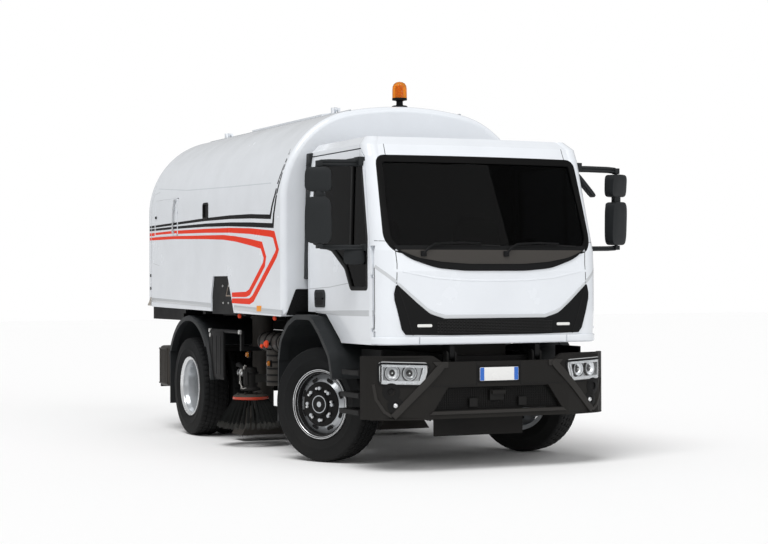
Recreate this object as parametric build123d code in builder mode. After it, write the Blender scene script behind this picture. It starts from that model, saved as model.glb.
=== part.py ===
from build123d import *
from math import atan, cos, degrees, radians, sin, sqrt
import os

# Street sweeper truck. Millimetres. +Z up, the cab faces -Y, +X is the driver's left-hand side.
# Origin: on the ground, midway along the length and across the width.

os.makedirs("parts", exist_ok=True)

# ---- Overall sizes ----
WHEELBASE = 3105
FRONT_OVERHANG = 1320
REAR_OVERHANG = 1385
FRONT_AXLE_Y = FRONT_OVERHANG - (WHEELBASE + FRONT_OVERHANG + REAR_OVERHANG) / 2
REAR_AXLE_Y = FRONT_AXLE_Y + WHEELBASE
NOSE_Y = FRONT_AXLE_Y - FRONT_OVERHANG
TAIL_Y = REAR_AXLE_Y + REAR_OVERHANG
SIDES = ((-1, "right"), (1, "left"))
RUNNING_GAP = 0.3
MOVING_GAP = 8

# ---- Chassis ----
RAIL_TOP = 960
RAIL_HEIGHT = 250
RAIL_BOTTOM = RAIL_TOP - RAIL_HEIGHT
RAIL_X = 430
RAIL_FLANGE = 75
RAIL_PLATE = 10
RAIL_FRONT_Y = FRONT_AXLE_Y - 1130
RAIL_REAR_Y = REAR_AXLE_Y + 1110

# ---- Wheels ----
TYRE_RADIUS = 500
TYRE_WIDTH = 275
BEAD_RADIUS = 286
RIM_WIDTH = 222
AXLE_Z = TYRE_RADIUS
KINGPIN_X = 936
KINGPIN_RADIUS = 22
SCRUB = 69
STEER_REST = 27.4
STUB_RADIUS = 40
DUAL_X = 944
DUAL_SPACING = 312
STUD_CIRCLE = 137.5
STUD_COUNT = 8

# ---- Cab ----
CAB_REAR_Y = FRONT_AXLE_Y + 290
CAB_LIP_Z = 1039
CAB_ROOF_Z = 2770
CAB_WALL = 55
CAB_FLOOR_Z = 1085
CAB_SEAT_BASE_Z = 1340
DOOR_TOP_Z = 2657
DOOR_GAP = 11
CAB_TILT_Y = FRONT_AXLE_Y - 1200
CAB_TILT_Z = 950
TILT_PIN_RADIUS = 20
TILT_LUG_X = 400
TILT_LUG = 40
TILT_EYE_R = 42

# ---- Hopper ----
HOPPER_HALF = 1240
HOPPER_FRONT_Y = FRONT_AXLE_Y + 437
HOPPER_JOINT_Y = TAIL_Y - 143
HOPPER_TOP = 3165
HOPPER_SHOULDER_Z = 2300
HOPPER_SHOULDER_R = 825
HOPPER_WALL = 50
HOPPER_FLOOR_Z = 1300
HOPPER_SKIRT_FRONT_Z = 1251
HOPPER_SKIRT_REAR_Z = 1303
HOPPER_SEAM_Z = 2470
TIP_Y = REAR_AXLE_Y + 1045
TIP_Z = 1130
TIP_PIN_RADIUS = 30
SUBFRAME_TOP = 1070
HOPPER_BEAM_Z = SUBFRAME_TOP + MOVING_GAP

# ---- Tipping rams ----
RAM_LOWER_Y = REAR_AXLE_Y + 795
RAM_LOWER_Z = 740
RAM_UPPER_Y = REAR_AXLE_Y + 495
RAM_UPPER_Z = 1200
RAM_X = 200
RAM_BARREL_R = 55
RAM_ROD_R = 28

# ---- Gutter brushes ----
BRUSH_X = 1075
BRUSH_Y = FRONT_AXLE_Y + 1700
BRUSH_PLATE_Z = 470
BRUSH_TIP_Z = 165
BRUSH_TIP_R = 325
BRUSH_PLATE_R = 172
ARM_PIVOT_X = 620
ARM_Z = 640


def write(piece, name):
    piece.part.label = name
    export_step(piece.part, f"parts/{name}.step")


def write_group(pieces, name):
    """Write pieces that share a material and a body as one node of separate solids."""
    group = Compound(children=[solid for piece in pieces for solid in piece.part.solids()])
    group.label = name
    export_step(group, f"parts/{name}.step")


# ======== Chassis frame ========
with BuildPart() as frame_rails:
    for side, _ in SIDES:
        with BuildSketch(Plane.XZ.offset(-RAIL_FRONT_Y)):
            with Locations((side * RAIL_X, RAIL_BOTTOM + RAIL_HEIGHT / 2)):
                Rectangle(RAIL_PLATE, RAIL_HEIGHT)
            for z in (RAIL_BOTTOM + RAIL_PLATE / 2, RAIL_TOP - RAIL_PLATE / 2):
                with Locations((side * (RAIL_X - RAIL_FLANGE / 2), z)):
                    Rectangle(RAIL_FLANGE, RAIL_PLATE)
        extrude(amount=-(RAIL_REAR_Y - RAIL_FRONT_Y))
write(frame_rails, "frame_rails")

RAIL_INSIDE = RAIL_X - RAIL_PLATE / 2
RAIL_OUTSIDE = RAIL_X + RAIL_PLATE / 2
with BuildPart() as crossmembers:
    # offset along the frame, depth along Y, height
    for y, depth, height in (
        (RAIL_FRONT_Y + 60, 90, 200),
        (FRONT_AXLE_Y + 560, 80, 160),
        (FRONT_AXLE_Y + 1350, 80, 160),
        (REAR_AXLE_Y - 620, 80, 160),
        (REAR_AXLE_Y + 430, 80, 120),
        (RAIL_REAR_Y - 45, 90, 160),
    ):
        with Locations((0, y, RAIL_BOTTOM + RAIL_HEIGHT / 2)):
            Box(2 * RAIL_INSIDE, depth, height)

# ======== Sub-frame, with the tipping hinge at its tail ========
SUBFRAME_WIDTH = 80
LUG_THICKNESS = 20
LUG_X = SUBFRAME_WIDTH / 2 + MOVING_GAP + LUG_THICKNESS / 2
LUG_HALF = 52
BASE_PLATE = 20
with BuildPart() as subframe:
    for side, _ in SIDES:
        with BuildSketch(Plane.XY.offset(RAIL_TOP)):
            with Locations((side * RAIL_X, (HOPPER_FRONT_Y + 60 + TIP_Y - 110) / 2)):
                Rectangle(SUBFRAME_WIDTH, TIP_Y - 110 - HOPPER_FRONT_Y - 60)
        extrude(amount=SUBFRAME_TOP - RAIL_TOP)
        with Locations((side * RAIL_X, TIP_Y, RAIL_TOP + BASE_PLATE / 2)):
            Box(2 * LUG_X + LUG_THICKNESS, 2 * LUG_HALF, BASE_PLATE)
        for lug in (-LUG_X, LUG_X):
            with BuildSketch(Plane.YZ.offset(side * RAIL_X + lug - LUG_THICKNESS / 2)):
                with Locations((TIP_Y, TIP_Z)):
                    Circle(LUG_HALF)
                with Locations((TIP_Y, (RAIL_TOP + TIP_Z) / 2)):
                    Rectangle(2 * LUG_HALF, TIP_Z - RAIL_TOP)
            extrude(amount=LUG_THICKNESS)
        with BuildSketch(Plane.YZ.offset(side * RAIL_X - LUG_X)):
            with Locations((TIP_Y, TIP_Z)):
                Circle(TIP_PIN_RADIUS)
        extrude(amount=2 * LUG_X)

# ======== Axles and springs ========
SPRING_X = 430
SPRING_WIDTH = 80
SPRING_PACK = 60
SPRING_HALF = 620
AXLE_BEAM_TOP = 520
AXLE_BEAM_DROP = 400
EYE_RADIUS = 45
EYE_HALF = 60
YOKE_PLATE = 26
YOKE_GAP = 3
with BuildPart() as front_axle:
    with BuildSketch(Plane.XZ.offset(-(FRONT_AXLE_Y - 45))):
        with BuildLine():
            Polyline(
                (-KINGPIN_X, AXLE_BEAM_TOP + 30),
                (-KINGPIN_X + 160, AXLE_BEAM_TOP),
                (-SPRING_X - 90, AXLE_BEAM_DROP + 80),
                (SPRING_X + 90, AXLE_BEAM_DROP + 80),
                (KINGPIN_X - 160, AXLE_BEAM_TOP),
                (KINGPIN_X, AXLE_BEAM_TOP + 30),
                (KINGPIN_X, AXLE_BEAM_TOP - 70),
                (KINGPIN_X - 110, AXLE_BEAM_TOP - 75),
                (SPRING_X + 110, AXLE_BEAM_DROP - 20),
                (-SPRING_X - 110, AXLE_BEAM_DROP - 20),
                (-KINGPIN_X + 110, AXLE_BEAM_TOP - 75),
                (-KINGPIN_X, AXLE_BEAM_TOP - 70),
                close=True,
            )
        make_face()
    extrude(amount=-90)
    for side, _ in SIDES:
        with Locations((side * KINGPIN_X, FRONT_AXLE_Y, AXLE_Z)):
            Cylinder(EYE_RADIUS, 2 * EYE_HALF)
            Cylinder(KINGPIN_RADIUS + RUNNING_GAP, 2 * EYE_HALF, mode=Mode.SUBTRACT)
        with Locations((side * SPRING_X, FRONT_AXLE_Y, AXLE_BEAM_DROP + 80 + 15)):
            Box(SPRING_WIDTH + 40, 160, 30)

REAR_TUBE_R = 75
BANJO_R = 190
REAR_HUB_PLANE = DUAL_X - 60
with BuildPart() as rear_axle:
    with BuildSketch(Plane.YZ.offset(-REAR_HUB_PLANE)):
        with Locations((REAR_AXLE_Y, AXLE_Z)):
            Circle(REAR_TUBE_R)
    extrude(amount=2 * REAR_HUB_PLANE)
    with BuildSketch(Plane.YZ.offset(-DUAL_X - 120)):
        with Locations((REAR_AXLE_Y, AXLE_Z)):
            Circle(STUB_RADIUS)
    extrude(amount=2 * DUAL_X + 240)
    with BuildSketch(Plane.YZ.offset(-130)):
        with Locations((REAR_AXLE_Y, AXLE_Z)):
            Circle(BANJO_R)
    extrude(amount=260)
    for side, _ in SIDES:
        with Locations((side * SPRING_X, REAR_AXLE_Y, AXLE_Z + REAR_TUBE_R - 10)):
            Box(SPRING_WIDTH + 40, 160, 50)

# Each spring is a bowed pack that hangs from two brackets under the rail.
SPRING_SEATS = ((FRONT_AXLE_Y, AXLE_BEAM_DROP + 110), (REAR_AXLE_Y, AXLE_Z + REAR_TUBE_R + 15))
HANGER_WIDTH = 60
with BuildPart() as springs:
    for side, _ in SIDES:
        for axle_y, seat_z in SPRING_SEATS:
            eye_z = RAIL_BOTTOM - 30
            with BuildSketch(Plane.YZ.offset(side * SPRING_X - SPRING_WIDTH / 2)):
                with BuildLine():
                    lower = ThreePointArc(
                        (axle_y - SPRING_HALF, eye_z - SPRING_PACK / 3),
                        (axle_y, seat_z),
                        (axle_y + SPRING_HALF, eye_z - SPRING_PACK / 3),
                    )
                    upper = ThreePointArc(
                        (axle_y - SPRING_HALF, eye_z),
                        (axle_y, seat_z + SPRING_PACK),
                        (axle_y + SPRING_HALF, eye_z),
                    )
                    Line(lower @ 0, upper @ 0)
                    Line(lower @ 1, upper @ 1)
                make_face()
            extrude(amount=SPRING_WIDTH)
            for end in (-1, 1):
                hanger_y = axle_y + end * (SPRING_HALF - HANGER_WIDTH / 2)
                with Locations((side * (RAIL_X - 20), hanger_y, (eye_z - 10 + RAIL_BOTTOM) / 2)):
                    Box(40, HANGER_WIDTH, RAIL_BOTTOM - eye_z + 10)
write_group((front_axle, rear_axle, springs), "axles")

# ======== Engine, as one block ========
ENGINE_WIDTH = 560
ENGINE_LENGTH = 1150
ENGINE_Y = FRONT_AXLE_Y - 330
ENGINE_BOTTOM = 600
ENGINE_TOP = 1210
with BuildPart() as engine_block:
    with Locations((0, ENGINE_Y, (ENGINE_BOTTOM + ENGINE_TOP) / 2)):
        Box(ENGINE_WIDTH, ENGINE_LENGTH, ENGINE_TOP - ENGINE_BOTTOM)
    # mounting arms to the rails' webs
    for y in (ENGINE_Y - 300, ENGINE_Y + 330):
        with Locations((0, y, RAIL_BOTTOM + 90)):
            Box(2 * RAIL_INSIDE, 90, 80)
write(engine_block, "engine_block")

# ======== Steering knuckles, drawn straight ahead and turned to the parked angle ========


def wheel_plane(side, offset):
    """The plane of a steered wheel, its Z along the stub axle and out of the truck."""
    turn = STEER_REST if side > 0 else STEER_REST + 180
    outward = Vector(cos(radians(turn)), sin(radians(turn)), 0)
    centre = Vector(side * KINGPIN_X, FRONT_AXLE_Y, AXLE_Z) + outward * offset
    return Plane(origin=centre, x_dir=Vector(0, 0, 1), z_dir=outward)


STUB_START = SCRUB - 5
STUB_END = SCRUB + 85
for side, name in SIDES:
    with BuildPart() as knuckle:
        with BuildSketch(wheel_plane(side, -45)):
            for z in (EYE_HALF + YOKE_GAP + YOKE_PLATE / 2, -EYE_HALF - YOKE_GAP - YOKE_PLATE / 2):
                with Locations((z, 0)):
                    Rectangle(YOKE_PLATE, 90)
        extrude(amount=STUB_START + 45)
        with BuildSketch(wheel_plane(side, EYE_RADIUS + YOKE_GAP)):
            Rectangle(2 * (EYE_HALF + YOKE_GAP + YOKE_PLATE), 90)
        extrude(amount=STUB_START - EYE_RADIUS - YOKE_GAP)
        with BuildSketch(wheel_plane(side, STUB_START)):
            Circle(STUB_RADIUS)
        extrude(amount=STUB_END - STUB_START)
        with Locations((side * KINGPIN_X, FRONT_AXLE_Y, AXLE_Z)):
            Cylinder(KINGPIN_RADIUS, 2 * (EYE_HALF + YOKE_GAP + YOKE_PLATE / 2))
    write(knuckle, f"knuckle_{name}")

# ======== Tyres ========
BEAD_HALF = 105
BEAD_TOP_R = 304
with BuildPart() as tyre_form:
    with BuildSketch(Plane.XZ):
        with BuildLine():
            Line((BEAD_RADIUS, BEAD_HALF), (BEAD_TOP_R, BEAD_HALF))
            upper_wall = ThreePointArc(
                (BEAD_TOP_R, BEAD_HALF),
                (BEAD_RADIUS + 92, TYRE_WIDTH / 2),
                (TYRE_RADIUS - 42, TYRE_WIDTH / 2 - 6),
            )
            shoulder = ThreePointArc(
                upper_wall @ 1,
                (TYRE_RADIUS - 16, TYRE_WIDTH / 2 - 14),
                (TYRE_RADIUS - 6, TYRE_WIDTH / 2 - 32),
            )
            tread = ThreePointArc(shoulder @ 1, (TYRE_RADIUS, 0), (TYRE_RADIUS - 6, -TYRE_WIDTH / 2 + 32))
            ThreePointArc(
                tread @ 1, (TYRE_RADIUS - 16, -TYRE_WIDTH / 2 + 14), (TYRE_RADIUS - 42, -TYRE_WIDTH / 2 + 6)
            )
            ThreePointArc(
                (TYRE_RADIUS - 42, -TYRE_WIDTH / 2 + 6),
                (BEAD_RADIUS + 92, -TYRE_WIDTH / 2),
                (BEAD_TOP_R, -BEAD_HALF),
            )
            Polyline((BEAD_TOP_R, -BEAD_HALF), (BEAD_RADIUS, -BEAD_HALF), (BEAD_RADIUS, BEAD_HALF))
        make_face()
    revolve(axis=Axis.Z)

# ======== Front rim and hub, drawn about Z with the outside up ========
RIM_R = BEAD_RADIUS - RUNNING_GAP
RIM_INNER_R = 268
RIM_LIP_R = 299
HUB_COVER_R = 165
RIM_DISC_W = 75
with BuildPart() as front_rim_form:
    with BuildSketch(Plane.XZ):
        with BuildLine():
            Polyline(
                (STUB_RADIUS + 60, RIM_DISC_W),
                (HUB_COVER_R + 15, RIM_DISC_W),
                (225, RIM_DISC_W - 30),
                (RIM_INNER_R - 6, RIM_DISC_W - 50),
                (RIM_INNER_R - 6, -RIM_WIDTH / 2),
                (RIM_LIP_R, -RIM_WIDTH / 2),
                (RIM_LIP_R, -BEAD_HALF - 1),
                (RIM_R, -BEAD_HALF - 1),
                (RIM_R, BEAD_HALF + 1),
                (RIM_LIP_R, BEAD_HALF + 1),
                (RIM_LIP_R, RIM_WIDTH / 2),
                (RIM_LIP_R - 8, RIM_WIDTH / 2),
                (RIM_INNER_R, RIM_WIDTH / 2 - 12),
                (RIM_INNER_R, RIM_DISC_W - 36),
                (228, RIM_DISC_W - 16),
                (HUB_COVER_R + 18, RIM_DISC_W + 14),
                (STUB_RADIUS + 60, RIM_DISC_W + 14),
                close=True,
            )
        make_face()
    revolve(axis=Axis.Z)
    with BuildSketch(Plane.XY.offset(0)):
        with PolarLocations(212, 8, start_angle=22.5):
            SlotOverall(52, 24, rotation=90)
    extrude(amount=RIM_WIDTH, mode=Mode.SUBTRACT)

HUB_FACE = 125
with BuildPart() as front_hub_form:
    with BuildSketch(Plane.XZ):
        with BuildLine():
            Polyline(
                (STUB_RADIUS + RUNNING_GAP, 5),
                (110, 5),
                (110, RIM_DISC_W - 20),
                (HUB_COVER_R - 10, RIM_DISC_W - 14),
                (HUB_COVER_R - 10, RIM_DISC_W),
                (STUB_RADIUS + 60, RIM_DISC_W),
                (STUB_RADIUS + 60, RIM_DISC_W + 14),
                (HUB_COVER_R, RIM_DISC_W + 14),
                (HUB_COVER_R, RIM_DISC_W + 26),
                (105, RIM_DISC_W + 34),
                (98, HUB_FACE - 4),
                (90, HUB_FACE),
                (0, HUB_FACE),
                (0, 30 + STUB_END - SCRUB),
                (STUB_RADIUS + RUNNING_GAP, 30 + STUB_END - SCRUB),
                close=True,
            )
        make_face()
    revolve(axis=Axis.Z)
    with PolarLocations(STUD_CIRCLE, STUD_COUNT):
        with Locations((0, 0, RIM_DISC_W + 34)):
            Cylinder(15, 30)

for side, name in SIDES:
    place = wheel_plane(side, SCRUB).location
    with BuildPart() as tyre_front:
        add(tyre_form.part.moved(place))
    write(tyre_front, f"tyre_front_{name}")
    with BuildPart() as rim_front:
        add(front_rim_form.part.moved(place))
    with BuildPart() as hub_front:
        add(front_hub_form.part.moved(place))
    write_group((rim_front, hub_front), f"rim_front_{name}")

# ======== Rear twin wheels: two tyres, one drum-like rim pair and a hub on each side ========
DISC_THICKNESS = 16
with BuildPart() as rear_rim_form:
    with BuildSketch(Plane.XZ):
        with BuildLine():
            Polyline(
                (115, -DISC_THICKNESS),
                (205, -DISC_THICKNESS),
                (RIM_INNER_R - 30, -DISC_THICKNESS - 30),
                (RIM_INNER_R, -DUAL_SPACING / 2 + RIM_WIDTH / 2),
                (RIM_INNER_R, -DUAL_SPACING / 2 - RIM_WIDTH / 2 + 10),
                (RIM_LIP_R - 8, -DUAL_SPACING / 2 - RIM_WIDTH / 2),
                (RIM_LIP_R, -DUAL_SPACING / 2 - RIM_WIDTH / 2),
                (RIM_LIP_R, -DUAL_SPACING / 2 - BEAD_HALF - 1),
                (RIM_R, -DUAL_SPACING / 2 - BEAD_HALF - 1),
                (RIM_R, DUAL_SPACING / 2 + BEAD_HALF + 1),
                (RIM_LIP_R, DUAL_SPACING / 2 + BEAD_HALF + 1),
                (RIM_LIP_R, DUAL_SPACING / 2 + RIM_WIDTH / 2),
                (RIM_LIP_R - 8, DUAL_SPACING / 2 + RIM_WIDTH / 2),
                (RIM_INNER_R, DUAL_SPACING / 2 + RIM_WIDTH / 2 - 12),
                (RIM_INNER_R, DUAL_SPACING / 2 - RIM_WIDTH / 2),
                (RIM_INNER_R - 30, DISC_THICKNESS + 30),
                (205, DISC_THICKNESS),
                (115, DISC_THICKNESS),
                close=True,
            )
        make_face()
    revolve(axis=Axis.Z)
    with BuildSketch(Plane.XY.offset(-DUAL_SPACING)):
        with PolarLocations(190, 8, start_angle=22.5):
            Circle(26)
    extrude(amount=2 * DUAL_SPACING, mode=Mode.SUBTRACT)

REAR_HUB_FACE = 150
with BuildPart() as rear_hub_form:
    with BuildSketch(Plane.XZ):
        with BuildLine():
            Polyline(
                (STUB_RADIUS + RUNNING_GAP, -DISC_THICKNESS - 34),
                (115 - RUNNING_GAP, -DISC_THICKNESS - 34),
                (115 - RUNNING_GAP, DISC_THICKNESS),
                (STUD_CIRCLE + 25, DISC_THICKNESS),
                (STUD_CIRCLE + 25, DISC_THICKNESS + 18),
                (108, DISC_THICKNESS + 30),
                (96, REAR_HUB_FACE - 10),
                (86, REAR_HUB_FACE),
                (0, REAR_HUB_FACE),
                (0, 125),
                (STUB_RADIUS + RUNNING_GAP, 125),
                close=True,
            )
        make_face()
    revolve(axis=Axis.Z)
    with PolarLocations(STUD_CIRCLE, STUD_COUNT):
        with Locations((0, 0, DISC_THICKNESS + 27)):
            Cylinder(15, 30)

for side, name in SIDES:
    dual_plane = Plane(
        origin=(side * DUAL_X, REAR_AXLE_Y, AXLE_Z), x_dir=Vector(0, 0, 1), z_dir=Vector(side, 0, 0)
    )
    with BuildPart() as tyres_rear:
        for shift in (-DUAL_SPACING / 2, DUAL_SPACING / 2):
            add(tyre_form.part.moved(dual_plane.offset(shift).location))
    write(tyres_rear, f"tyres_rear_{name}")
    with BuildPart() as rim_rear:
        add(rear_rim_form.part.moved(dual_plane.location))
    with BuildPart() as hub_rear:
        add(rear_hub_form.part.moved(dual_plane.location))
    write_group((rim_rear, hub_rear), f"rim_rear_{name}")

# ======== Cab shell ========
# Level sections of the outer skin. Y is measured back from the front axle.
# height, nose at the middle, corner X, corner Y, side X, side Y
CAB_SECTIONS = (
    (CAB_LIP_Z, -1240, 880, -1207, 1040, -1010),
    (1300, -1262, 885, -1222, 1050, -1020),
    (1640, -1262, 885, -1218, 1050, -1020),
    (1812, -1245, 890, -1200, 1050, -1010),
    (2600, -985, 905, -915, 1025, -790),
    (2700, -935, 900, -870, 1012, -760),
    (CAB_ROOF_Z, -830, 850, -780, 940, -700),
)


def cab_form(inset, floor_z):
    """The cab's outline as a solid, set in from the outer skin."""
    with BuildPart() as form:
        for z, nose, corner_x, corner_y, side_x, side_y in CAB_SECTIONS:
            level = min(max(z, floor_z), CAB_ROOF_Z - inset)
            bend_x = (corner_x + side_x) / 2 + 32 - inset * 0.7
            bend_y = FRONT_AXLE_Y + (corner_y + side_y) / 2 - 38 + inset * 0.7
            rear = CAB_REAR_Y - inset
            with BuildSketch(Plane.XY.offset(level)):
                with BuildLine():
                    ThreePointArc(
                        (-corner_x + inset * 0.5, FRONT_AXLE_Y + corner_y + inset),
                        (0, FRONT_AXLE_Y + nose + inset),
                        (corner_x - inset * 0.5, FRONT_AXLE_Y + corner_y + inset),
                    )
                    ThreePointArc(
                        (corner_x - inset * 0.5, FRONT_AXLE_Y + corner_y + inset),
                        (bend_x, bend_y),
                        (side_x - inset, FRONT_AXLE_Y + side_y + inset * 0.5),
                    )
                    Polyline(
                        (side_x - inset, FRONT_AXLE_Y + side_y + inset * 0.5),
                        (side_x - inset, rear),
                        (-side_x + inset, rear),
                        (-side_x + inset, FRONT_AXLE_Y + side_y + inset * 0.5),
                    )
                    ThreePointArc(
                        (-side_x + inset, FRONT_AXLE_Y + side_y + inset * 0.5),
                        (-bend_x, bend_y),
                        (-corner_x + inset * 0.5, FRONT_AXLE_Y + corner_y + inset),
                    )
                make_face()
        loft(ruled=True)
    return form.part


cab_skin = cab_form(0, CAB_LIP_Z)
cab_room = cab_form(CAB_WALL, CAB_LIP_Z)

# Door outline seen from the side, Y back from the front axle. The lower edge steps up over the wheel.
DOOR_FRONT = -1075
DOOR_REAR = 262
DOOR_OUTLINE = (
    (DOOR_FRONT, CAB_LIP_Z - 20),
    (DOOR_FRONT, 1700),
    (-1035, 1850),
    (-862, 2590),
    (-800, DOOR_TOP_Z),
    (DOOR_REAR, DOOR_TOP_Z),
    (DOOR_REAR, 1295),
    (-95, 1295),
    (-400, 1070),
    (-440, CAB_LIP_Z - 20),
)
# Side glass, with the deeper quarter at the front.
SIDE_GLASS = (
    (-985, 1500),
    (-985, 1905),
    (-835, 2530),
    (-790, 2575),
    (150, 2575),
    (180, 2545),
    (180, 1905),
    (-250, 1835),
    (-533, 1679),
    (-655, 1500),
)
# The opening that the door closes, a gap wider all round.
with BuildSketch(Plane.YZ) as door_shape:
    with BuildLine():
        Polyline(*[(FRONT_AXLE_Y + y, z) for y, z in DOOR_OUTLINE], close=True)
    make_face()
with BuildSketch(Plane.YZ) as doorway_shape:
    with BuildLine():
        Polyline(*[(FRONT_AXLE_Y + y, z) for y, z in DOOR_OUTLINE], close=True)
    make_face()
    offset(amount=DOOR_GAP, kind=Kind.INTERSECTION)
with BuildSketch(Plane.YZ) as side_glass_shape:
    with BuildLine():
        Polyline(*[(FRONT_AXLE_Y + y, z) for y, z in SIDE_GLASS], close=True)
    make_face()

# The wheel arch takes away the walls below the door's stepped edge.
ARCH_TOP = 1295
ARCH_OUTLINE = (
    (DOOR_OUTLINE[9][0] - 40, CAB_LIP_Z - 60),
    (DOOR_OUTLINE[9][0], CAB_LIP_Z + 10),
    (DOOR_OUTLINE[8][0], DOOR_OUTLINE[8][1] + DOOR_GAP),
    (DOOR_OUTLINE[7][0], ARCH_TOP),
    (CAB_REAR_Y - FRONT_AXLE_Y + 50, ARCH_TOP),
    (CAB_REAR_Y - FRONT_AXLE_Y + 50, CAB_LIP_Z - 60),
)

# A hinge pin stands close to the door's front edge and outer skin; its pocket is open to both.
HINGE_FROM_EDGE = 9
HINGE_FROM_SKIN = 12
HINGE_X = 1024
HINGE_Y = FRONT_AXLE_Y + DOOR_FRONT + HINGE_FROM_EDGE
HINGE_PIN_R = 5
HINGE_ARM = 16
HINGE_ARM_HEIGHT = 18
HINGE_ARM_LENGTH = 44
HINGE_POCKET_R = 13
HINGE_POCKET = 30
HINGE_PIN_LENGTH = HINGE_POCKET + 40
POCKET_REACH = 60
HINGE_LEVELS = (1160, 1600)
HINGE_COVE_R = 33
HINGE_COVE_TOP = 1850
REACH = 2 * HOPPER_HALF

DOORWAY_X = 800
DOOR_CUT = 400
WINDSCREEN_X = 905
WINDSCREEN_BOTTOM = 1812
WINDSCREEN_TOP = 2590
with BuildPart() as cab_walls:
    add(cab_skin)
    add(cab_room, mode=Mode.SUBTRACT)
    # nothing below the walls
    with Locations((0, FRONT_AXLE_Y, CAB_LIP_Z - 100)):
        Box(REACH, REACH, 200, mode=Mode.SUBTRACT)
    # windscreen opening, seen from the front
    with BuildSketch(Plane.XZ.offset(-(FRONT_AXLE_Y - 700))):
        with BuildLine():
            Polyline(
                (-WINDSCREEN_X, WINDSCREEN_TOP),
                (WINDSCREEN_X, WINDSCREEN_TOP),
                (WINDSCREEN_X + 40, WINDSCREEN_BOTTOM + 120),
                (WINDSCREEN_X - 25, WINDSCREEN_BOTTOM),
                (-WINDSCREEN_X + 25, WINDSCREEN_BOTTOM),
                (-WINDSCREEN_X - 40, WINDSCREEN_BOTTOM + 120),
                close=True,
            )
        make_face()
        fillet(vertices(), 40)
    extrude(amount=800, mode=Mode.SUBTRACT)
    # doorways
    for side, _ in SIDES:
        doorway = doorway_shape.sketch.moved(Location((side * DOORWAY_X, 0, 0)))
        extrude(doorway, amount=side * DOOR_CUT, mode=Mode.SUBTRACT)
    # wheel arches
    with BuildSketch(Plane.YZ.offset(-REACH / 2)):
        with BuildLine():
            Polyline(*[(FRONT_AXLE_Y + y, z) for y, z in ARCH_OUTLINE], close=True)
        make_face()
    extrude(amount=REACH, mode=Mode.SUBTRACT)

CAB_SEAM_Z = DOOR_TOP_Z + DOOR_GAP
with BuildPart() as cab_roof:
    add(cab_walls.part)
    split(bisect_by=Plane.XY.offset(CAB_SEAM_Z), keep=Keep.TOP)
write(cab_roof, "cab_roof")

with BuildPart() as cab_back:
    add(cab_walls.part)
    split(bisect_by=Plane.XY.offset(CAB_SEAM_Z), keep=Keep.BOTTOM)
    split(bisect_by=Plane.XZ.offset(-FRONT_AXLE_Y), keep=Keep.BOTTOM)
write(cab_back, "cab_back")

with BuildPart() as cab_front:
    add(cab_walls.part)
    split(bisect_by=Plane.XY.offset(CAB_SEAM_Z), keep=Keep.BOTTOM)
    split(bisect_by=Plane.XZ.offset(-(FRONT_AXLE_Y - 400)), keep=Keep.TOP)
    # a cove behind the skin, in which the front edge of the opening door turns
    cove_height = HINGE_COVE_TOP - CAB_LIP_Z + MOVING_GAP
    for side, _ in SIDES:
        with Locations((side * HINGE_X, HINGE_Y, HINGE_COVE_TOP - cove_height / 2)):
            Cylinder(HINGE_COVE_R, cove_height, mode=Mode.SUBTRACT)
    # door hinges: an arm into each door's pocket, with a pin above and below it
    for side, _ in SIDES:
        for z in HINGE_LEVELS:
            with Locations((side * HINGE_X, HINGE_Y - HINGE_ARM_LENGTH / 2, z)):
                Box(HINGE_ARM, HINGE_ARM_LENGTH, HINGE_ARM_HEIGHT)
            with Locations((side * HINGE_X, HINGE_Y, z)):
                Cylinder(HINGE_PIN_R, HINGE_PIN_LENGTH)
write(cab_front, "cab_front")

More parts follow.
